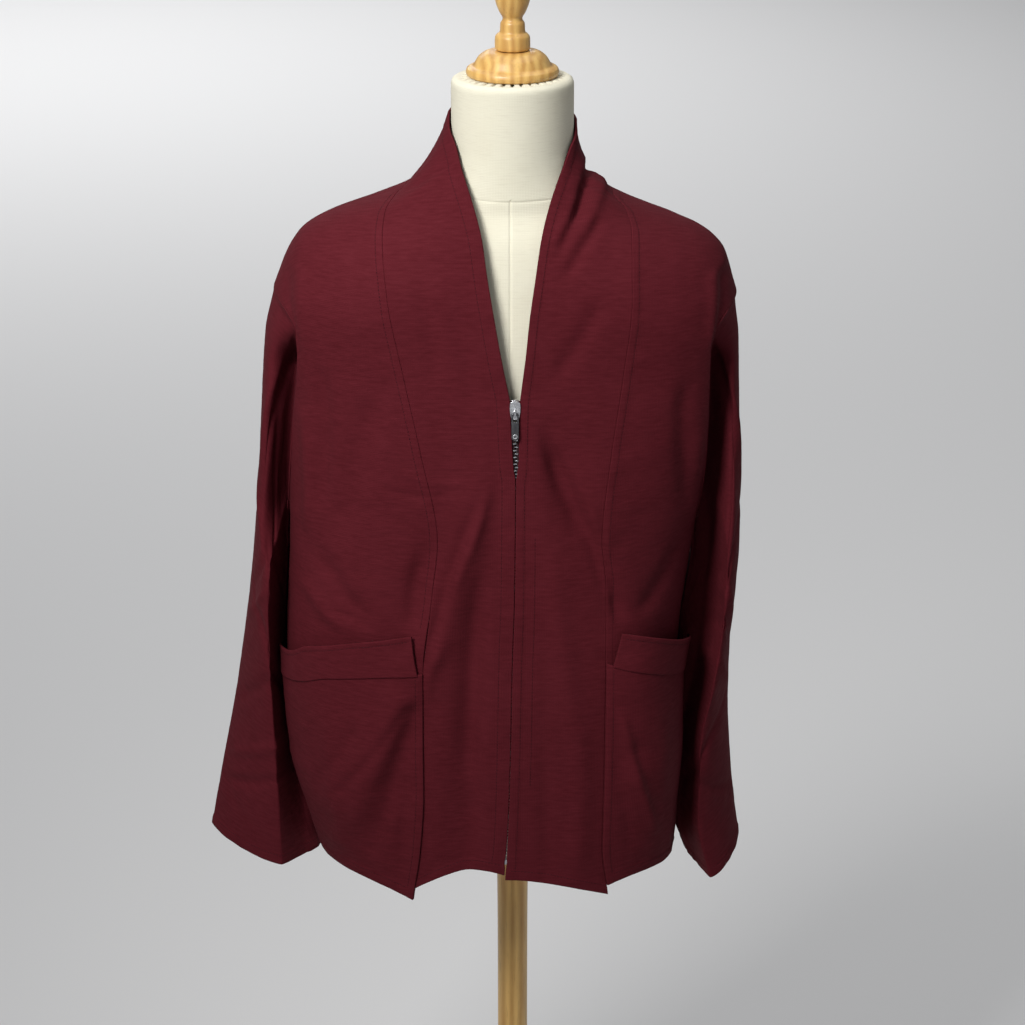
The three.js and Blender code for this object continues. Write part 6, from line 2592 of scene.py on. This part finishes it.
    def build_slider(self) -> None:
        """Make the slider: two plates on a core, with the crown that holds the tab."""
        place = self.slider_frame()
        upright = Matrix.Rotation(math.pi / 2, 4, "X")
        outline = rounded(
            [
                (-3.6, -9),
                (3.6, -9),
                (5.2, -1),
                (5.2, 7),
                (2.9, 9),
                (-2.9, 9),
                (-5.2, 7),
                (-5.2, -1),
            ],
            3,
            0.2,
        )
        front = flat_plate("front", [outline], 1.5, 0.5)
        back = flat_plate("back", [outline], 1.5, 0.4)
        core_outline = rounded([(-2.2, -7.5), (2.2, -7.5), (2.2, 8), (-2.2, 8)])
        core = flat_plate("core", [core_outline], 6.2, 0.2)
        crown_outline = rounded([(-6, 0), (2.4, 0), (2.4, 4.4), (-6, 4.4)], 3, 0.3)
        eye = rounded([(-4.4, -1), (0.9, -1), (0.9, 2.9), (-4.4, 2.9)], 3, 0.2)
        crown = flat_plate("crown", [crown_outline, eye[::-1]], 2.0, 0.35)
        sideways = Matrix(((0, 0, 1, 0), (0, -1, 0, 0), (1, 0, 0, 0), (0, 0, 0, 1)))

        def moved(y: float) -> Matrix:
            """The slider's place, moved into the cloth."""
            return place @ Matrix.Translation(Vector((0, y * MM, 0)))

        meshes = [
            (front, moved(-1.35) @ upright),
            (back, moved(5.95) @ upright),
            (core, moved(2.3) @ upright),
            (crown, moved(-1.9) @ sideways),
        ]
        Piece.carry(joined("zip_slider_body", meshes), self.steel, ["zip_slider"])

    def build_pull(self) -> None:
        """Make the pull tab, with its window, its hole and the eyelet round the hole."""
        place = self.slider_frame() @ Matrix.Translation(Vector((0, -3.6, -3.4)) * MM)
        upright = Matrix.Rotation(math.pi / 2, 4, "X")
        outline = [(3.5, -0.4), (2.3, 0.8), (-2.3, 0.8), (-3.5, -0.4)]
        outline += arc(0, -21.7, 3.5, 180, 360, 18)
        window = rounded([(-1.9, -7.4), (1.9, -7.4), (1.9, -0.8), (-1.9, -0.8)], 3, 0.15)
        hole = arc(0, -21.2, 1.5, 0, 337.5, 15)
        plate = flat_plate("pull", [outline, window[::-1], hole[::-1]], 1.4, 0.35)
        piece = joined("pull_tab_plate", [(plate, place @ upright)])
        Piece.carry(piece, self.dark, ["zip_pull"], PULL_BODY)
        rims = [arc(0, -21.2, 2.3, 0, 345, 23), arc(0, -21.2, 1.35, 345, 0, 23)]
        ring = flat_plate("ring", rims, 1.9, 0.25)
        eyelet = joined("pull_tab_eyelet", [(ring, place @ upright)])
        Piece.carry(eyelet, self.steel, (), PULL_BODY)

    def build(self) -> None:
        """Make the whole zip."""
        for side in Side:
            self.build_tape(side)
        self.build_teeth()
        self.build_stop()
        self.build_slider()
        self.build_pull()


# -------------------------------------------------------------------- form and its stand


def loft(
    name: str, rings: np.ndarray, flip: bool, uv: np.ndarray | None = None
) -> bpy.types.Object:
    """A closed body through a stack of rings.

    Args:
        name: The object's name.
        rings: The rings' points, each of the same count.
        flip: Whether to turn its faces the other way.
        uv: One pair of coordinates a point.

    Returns:
        The object.
    """
    rows, count = rings.shape[:2]
    i, j = np.meshgrid(np.arange(rows - 1), np.arange(count), indexing="ij")
    a, b = (i * count + j).ravel(), (i * count + (j + 1) % count).ravel()
    quads = np.stack([a, b, b + count, a + count], axis=1)
    faces = (quads[:, ::-1] if flip else quads).tolist()
    low, high = list(range(count)), list(range((rows - 1) * count, rows * count))
    faces += [low, high[::-1]] if flip else [low[::-1], high]
    piece = mesh_object(name, rings.reshape(-1, 3), faces, uv)
    soften(piece, 60)
    return piece


def turned(
    name: str, outline: Sequence[tuple[float, float]], lift: float, sides: int = 96
) -> bpy.types.Object:
    """A turned body from its outline.

    Args:
        name: The object's name.
        outline: Points as (radius, height), from the axis at its foot to the axis above.
        lift: Added to the heights.
        sides: How many sides a ring has.

    Returns:
        The object.
    """
    line = np.array(outline, dtype=float)
    for cut in (0.18, 0.25, 0.25):
        inner = np.stack([lerp(line[:-1], line[1:], cut), lerp(line[:-1], line[1:], 1 - cut)], 1)
        line = np.concatenate([line[:1], inner.reshape(-1, 2)[1:-1], line[-1:]])
    line = line[1:-1]
    angles = np.linspace(0, 2 * math.pi, sides, endpoint=False)
    rings = np.stack(
        [
            line[:, :1] * np.cos(angles),
            line[:, :1] * np.sin(angles),
            np.broadcast_to(line[:, 1:] + lift, (len(line), sides)),
        ],
        axis=-1,
    )
    return loft(name, rings, False)


# Sections of the form's body: height, reach to a side, depth to the front and back.
TORSO = (
    (655, 136, 92, 98),
    (668, 149, 100, 106),
    (710, 157, 104, 110),
    (765, 160, 104, 109),
    (850, 152, 98, 97),
    (935, 145, 95, 87),
    (1020, 153, 99, 88),
    (1100, 165, 102, 94),
    (1160, 172, 101, 97),
    (1205, 178, 96, 95),
    (1240, 184, 89, 89),
    (1262, 188, 84, 83),
)
# Its shoulders, whose reach follows the jacket's shoulder line up to a greatest reach.
FORM_SHOULDERS = (
    (1277, 189, 80, 78),
    (1289, 184, 76, 73),
    (1299, 176, 71, 69),
    (1308, 160, 66, 66),
    (1317, 140, 62, 63),
)
NECK = (
    (1328, 82, 60.5, 61),
    (1340, 70, 59.4, 60),
    (1354, 62, 58.8, 59.2),
    (1372, 58.6, 58.6, 58.6),
    (1400, 58.6, 58.6, 58.6),
    (1429, 58.6, 58.6, 58.6),
    (1433.5, 57.6, 57.6, 57.6),
    (1436, 54, 54, 54),
)
# Rings of the neck's top: radius and how far the pleats show there.
GATHERS = (
    (51.5, 0.0),
    (49.4, 0.1),
    (47.9, 0.5),
    (46.6, 0.9),
    (45.2, 1.0),
    (44.0, 1.0),
    (42.6, 1.0),
    (40.0, 0.8),
)
# The body's rows of points: from one height, to another, and how many.
FORM_ROWS = (
    (655, 657, 4),
    (659, 1300, 92),
    (1303, 1326, 8),
    (1327.2, 1332.8, 9),
    (1335, 1416, 22),
    (1419, 1436, 9),
)
# Extra columns beside its front seam, as angles, and how much all columns crowd to the sides.
SEAM_COLUMNS = (-0.02, -0.011, -0.005, 0.005, 0.011, 0.02)
SIDE_CROWDING = 0.62
# How far the shoulders draw in under the jacket, and at what height.
SHOULDER_TUCK, TUCK_HEIGHT, TUCK_WIDTH = 1.4, 1270.0, 60.0
# The seams' depths round the neck's foot and down the front, and the padding's waves.
NECK_SEAM_DEPTH, FRONT_SEAM_DEPTH, PADDING_WAVE = 0.55, 0.7, 0.35
NECK_PLATE = (
    (0, 0),
    (41, 0),
    (43.5, 1.5),
    (44.5, 4.5),
    (43.5, 8),
    (41, 9.5),
    (37.5, 10.5),
    (36, 13),
    (32.5, 19),
    (27, 23),
    (22, 24.5),
    (0, 24.5),
)
FINIAL = (
    (0, 24.8),
    (16, 24.8),
    (17, 28),
    (16.7, 38),
    (14.5, 40.5),
    (12, 42),
    (11.7, 51),
    (9.6, 53.5),
    (9.3, 56),
    (12.5, 61),
    (15.8, 69),
    (18, 80),
    (18.4, 90),
    (16.5, 100),
    (12, 107.5),
    (6, 111),
    (0, 112),
)
POLE = (
    (0, 22.3),
    (34, 22.3),
    (34, 30.3),
    (24, 38.3),
    (17, 52.3),
    (15.5, 82.3),
    (15.5, 594.7),
    (18, 620.7),
    (30, 636.7),
    (62, 642.7),
    (62, 654.7),
    (0, 654.7),
)
BASE = (
    (0, 0),
    (186, 0),
    (190, 4),
    (190, 11),
    (185, 15),
    (176, 17),
    (168, 22),
    (0, 22),
)


@dataclass
class DressForm:
    """The limbless form: its canvas body, neck plate, finial, pole and base.

    Attributes:
        canvas: The body's finish.
        wood: The upright turned pieces' finish.
        board: The base's finish, with its grain across it.
        neck_top: Height of the neck's top.
        neck_seam: Height of the seam round the foot of the neck.
        pleats: How many pleats the canvas has under the neck plate.
        columns: How many columns the body's mesh has, but for those at its seam.
    """

    canvas: Graph
    wood: Graph
    board: Graph
    neck_top: float = 1436.3
    neck_seam: float = 1330.0
    pleats: int = 32
    columns: int = 272

    def section(self, z: np.ndarray) -> tuple[np.ndarray, ...]:
        """The form's section at each height.

        Args:
            z: The heights.

        Returns:
            Its reach right and left, its depth to the front and back, and its squareness.
        """
        rows = []
        for row in TORSO:
            rows.append((row[0], row[1], row[1], row[2], row[3], 2.3 if row[0] < 1100 else 2.15))
        for height, most, front, back in FORM_SHOULDERS:
            reach = [min(most, self.under(side, height + 3.9)) for side in Side]
            rows.append((height, *reach, front, back, 1.85))
        for row in NECK:
            rows.append((row[0], row[1], row[1], row[2], row[3], 2.0))
        return tuple(profile(z) for profile in columns(rows))

    @staticmethod
    def under(side: Side, z: float) -> float:
        """How far out the jacket's shoulder line is at a height."""
        out = np.linspace(58.6, CUTS[side].shoulder_reach, 400)
        heights = SURFACE.shoulder[side](out)
        return float(np.interp(-z, -heights, out))

    def build_body(self) -> None:
        """Make the canvas body with its seams and the pleats under the plate."""
        z = np.concatenate([np.linspace(*row) for row in FORM_ROWS])
        even = np.linspace(0, 2 * math.pi, self.columns, endpoint=False)
        at_seam = np.array(SEAM_COLUMNS)
        even = np.sort(np.concatenate([even, at_seam % (2 * math.pi)]))
        right, left, front, back, power = self.section(z)
        crowd = SIDE_CROWDING * (1 - smoothstep((z - 1335) / 40))[:, None]
        angle = even - crowd * np.sin(2 * even) / 2
        across, ahead = np.sin(angle), np.cos(angle)
        tuck = SHOULDER_TUCK * bump(z - TUCK_HEIGHT, TUCK_WIDTH)[:, None]
        exponent = 2 / power[:, None]
        x = signed_power(across, exponent)
        y = -signed_power(ahead, exponent)
        x = x * (np.where(across < 0, right[:, None], left[:, None]) - tuck)
        y = y * (np.where(ahead > 0, front[:, None], back[:, None]) - tuck)
        grid = np.stack([x, y, np.broadcast_to(z[:, None], x.shape)], axis=-1)
        normals = grid_normals(grid, True, 1)
        height = grid[..., 2]
        below_neck = 1 - smoothstep((height - self.neck_seam + 1) / 2)
        dipped = height - self.neck_seam + 2.2 * bump(x / 40, 1) * (y < 0)
        offset = -NECK_SEAM_DEPTH * bump(dipped, 0.9)
        offset = offset - FRONT_SEAM_DEPTH * below_neck * bump(np.abs(x), 1.1)
        offset = offset + PADDING_WAVE * noise(x / 31, height / 37, 5) * (height < 1300)
        grid = grid + normals * offset[..., None]
        grid[..., 0] -= 2.0 * (grid[..., 1] < 0) * bump(x, 24) * below_neck
        grid = np.concatenate([grid, self.gathers(even)])
        around = arc_lengths(np.concatenate([grid, grid[:, :1]], axis=1), 1)
        # Measured from the front's middle both ways, so that the cloth's weave lies straight.
        around = np.where(around > around[:, -1:] / 2, around - around[:, -1:], around)[:, :-1]
        uv = np.stack([around, grid[..., 2]], axis=-1).reshape(-1, 2) * MM
        piece = loft("form_body", grid, False, uv)
        Piece.carry(piece, self.canvas, ["form_torso"])

    def gathers(self, angle: np.ndarray) -> np.ndarray:
        """The rings of the neck's top, gathered in small pleats at the plate's edge.

        Args:
            angle: Each column's angle round the neck, from the front's middle.

        Returns:
            The rings' points.
        """
        pleat = np.abs((angle / (2 * math.pi) * self.pleats) % 1 - 0.5) * 2
        hollow = smoothstep((pleat - 0.55) / 0.3)
        rings = []
        for radius, share in GATHERS:
            lift = 0.7 * share * (1 - hollow) - 3.0 * share * hollow
            ring = [radius * np.sin(angle), -radius * np.cos(angle), self.neck_top - 0.3 + lift]
            rings.append(np.stack(np.broadcast_arrays(*ring), axis=-1))
        return np.array(rings)

    def build_turnery(self) -> None:
        """Make the turned wooden pieces."""
        pieces = {
            "form_neck_plate": (NECK_PLATE, self.neck_top),
            "form_finial": (FINIAL, self.neck_top),
            "stand_pole": (POLE, 0.0),
            "stand_base": (BASE, 0.0),
        }
        for node, (outline, lift) in pieces.items():
            finish = self.board if node == "stand_base" else self.wood
            Piece.carry(turned(f"{node}_turned", outline, lift), finish, [node])

    def build(self) -> None:
        """Make the whole form and its stand."""
        self.build_body()
        self.build_turnery()


# --------------------------------------------------------------------- camera and light


@dataclass(frozen=True)
class Lamp:
    """A soft square light.

    Attributes:
        name: Its name.
        place: Where it is, in metres.
        aim: What it points at.
        size: The length of its side.
        power: Its power in watts.
        spread: The angle that its beam opens to, in degrees.
        colour: Its colour.
    """

    name: str
    place: tuple[float, float, float]
    aim: tuple[float, float, float]
    size: float
    power: float
    spread: float = 180.0
    colour: Colour = (1.0, 1.0, 1.0)


LAMPS = (
    Lamp("key", (-0.9, -1.45, 2.55), (-0.08, -0.1, 1.27), 0.7, 5.6, 58, (1.0, 0.99, 0.97)),
    Lamp("overhead", (0, 1.0, 5.5), (0, 1.0, 0), 5.0, 105),
    Lamp("backdrop", (-1.8, 7.4, 3.9), (-1.7, 7.4, 0.0), 4.3, 205),
    Lamp("forecourt", (0.0, -8.5, 4.2), (0.0, -8.5, 0.0), 5.0, 150, 100),
)


@dataclass
class Studio:
    """The camera, the lamps, the world and the pale floor.

    Attributes:
        distance: From the camera to its target, in metres.
        elevation: The camera's angle over the horizon, in degrees.
        target: What it looks at.
        lens: Its focal length on a 36 mm sensor.
        world: The world's colour and strength.
        floor: The floor's colour.
    """

    distance: float = 3.0
    elevation: float = 20.0
    target: tuple[float, float, float] = (0.0, 0.0, 0.995)
    lens: float = 105.37
    world: Colour = (0.93, 0.94, 0.96)
    world_strength: float = 0.20
    floor: Colour = (0.74, 0.74, 0.745)
    floor_size: float = 70.0

    @staticmethod
    def aim(thing: bpy.types.Object, at: Sequence[float]) -> None:
        """Turn an object's -Z towards a point."""
        away = Vector(at) - thing.location
        thing.rotation_euler = away.to_track_quat("-Z", "Y").to_euler()

    def build_camera(self) -> None:
        """Make the scene's camera."""
        data = bpy.data.cameras.new("camera")
        data.lens, data.sensor_width, data.sensor_fit = self.lens, 36.0, "AUTO"
        data.clip_end = 60.0
        camera = bpy.data.objects.new("camera", data)
        lift = math.radians(self.elevation)
        back = Vector((0, -math.cos(lift), math.sin(lift))) * self.distance
        camera.location = Vector(self.target) + back
        self.aim(camera, self.target)
        bpy.context.scene.collection.objects.link(camera)
        bpy.context.scene.camera = camera

    def build_lamps(self) -> None:
        """Make the lamps."""
        for lamp in LAMPS:
            data = bpy.data.lights.new(lamp.name, "AREA")
            data.size, data.energy, data.color = lamp.size, lamp.power, lamp.colour
            data.spread = math.radians(lamp.spread)
            light = bpy.data.objects.new(lamp.name, data)
            light.location = lamp.place
            self.aim(light, lamp.aim)
            bpy.context.scene.collection.objects.link(light)

    def build_world(self) -> None:
        """Make the even pale light all round."""
        world = bpy.data.worlds.new("studio")
        world.use_nodes = True
        background = world.node_tree.nodes["Background"]
        background.inputs["Color"].default_value = (*self.world, 1.0)
        background.inputs["Strength"].default_value = self.world_strength
        bpy.context.scene.world = world

    def build_floor(self) -> None:
        """Make the plain pale floor."""
        half = self.floor_size / 2
        mesh = bpy.data.meshes.new("floor")
        corners = [(-half, -half, 0), (half, -half, 0), (half, half, 0), (-half, half, 0)]
        mesh.from_pydata(corners, [], [(0, 1, 2, 3)])
        floor = bpy.data.objects.new("floor", mesh)
        floor.location.z = -0.0005
        bpy.context.scene.collection.objects.link(floor)
        material = bpy.data.materials.new("pale_floor")
        material.use_nodes = True
        shader = material.node_tree.nodes["Principled BSDF"]
        shader.inputs["Base Color"].default_value = (*self.floor, 1.0)
        shader.inputs["Roughness"].default_value = 0.9
        mesh.materials.append(material)

    def build(self) -> None:
        """Make the lamps, the world and the floor, and show colours as they are."""
        bpy.context.scene.view_settings.view_transform = "Standard"
        self.build_lamps()
        self.build_world()
        self.build_floor()


def main() -> None:
    """Build the whole scene, piece by piece."""
    logging.basicConfig(level=logging.INFO, format="%(message)s")
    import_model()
    studio = Studio()
    studio.build_camera()
    steel, dark = BRIGHT_STEEL.make(), DULL_STEEL.make()
    DressForm(CREAM_CANVAS.make(), HONEY_WOOD.make(), HONEY_BOARD.make()).build()
    jacket = Jacket(CREPE.make(), MAROON_THREAD.make())
    jacket.build()
    jacket.declare()
    Zip(MAROON_TAPE.make(), steel, dark).build()
    studio.build()


if __name__ == "__main__":
    main()
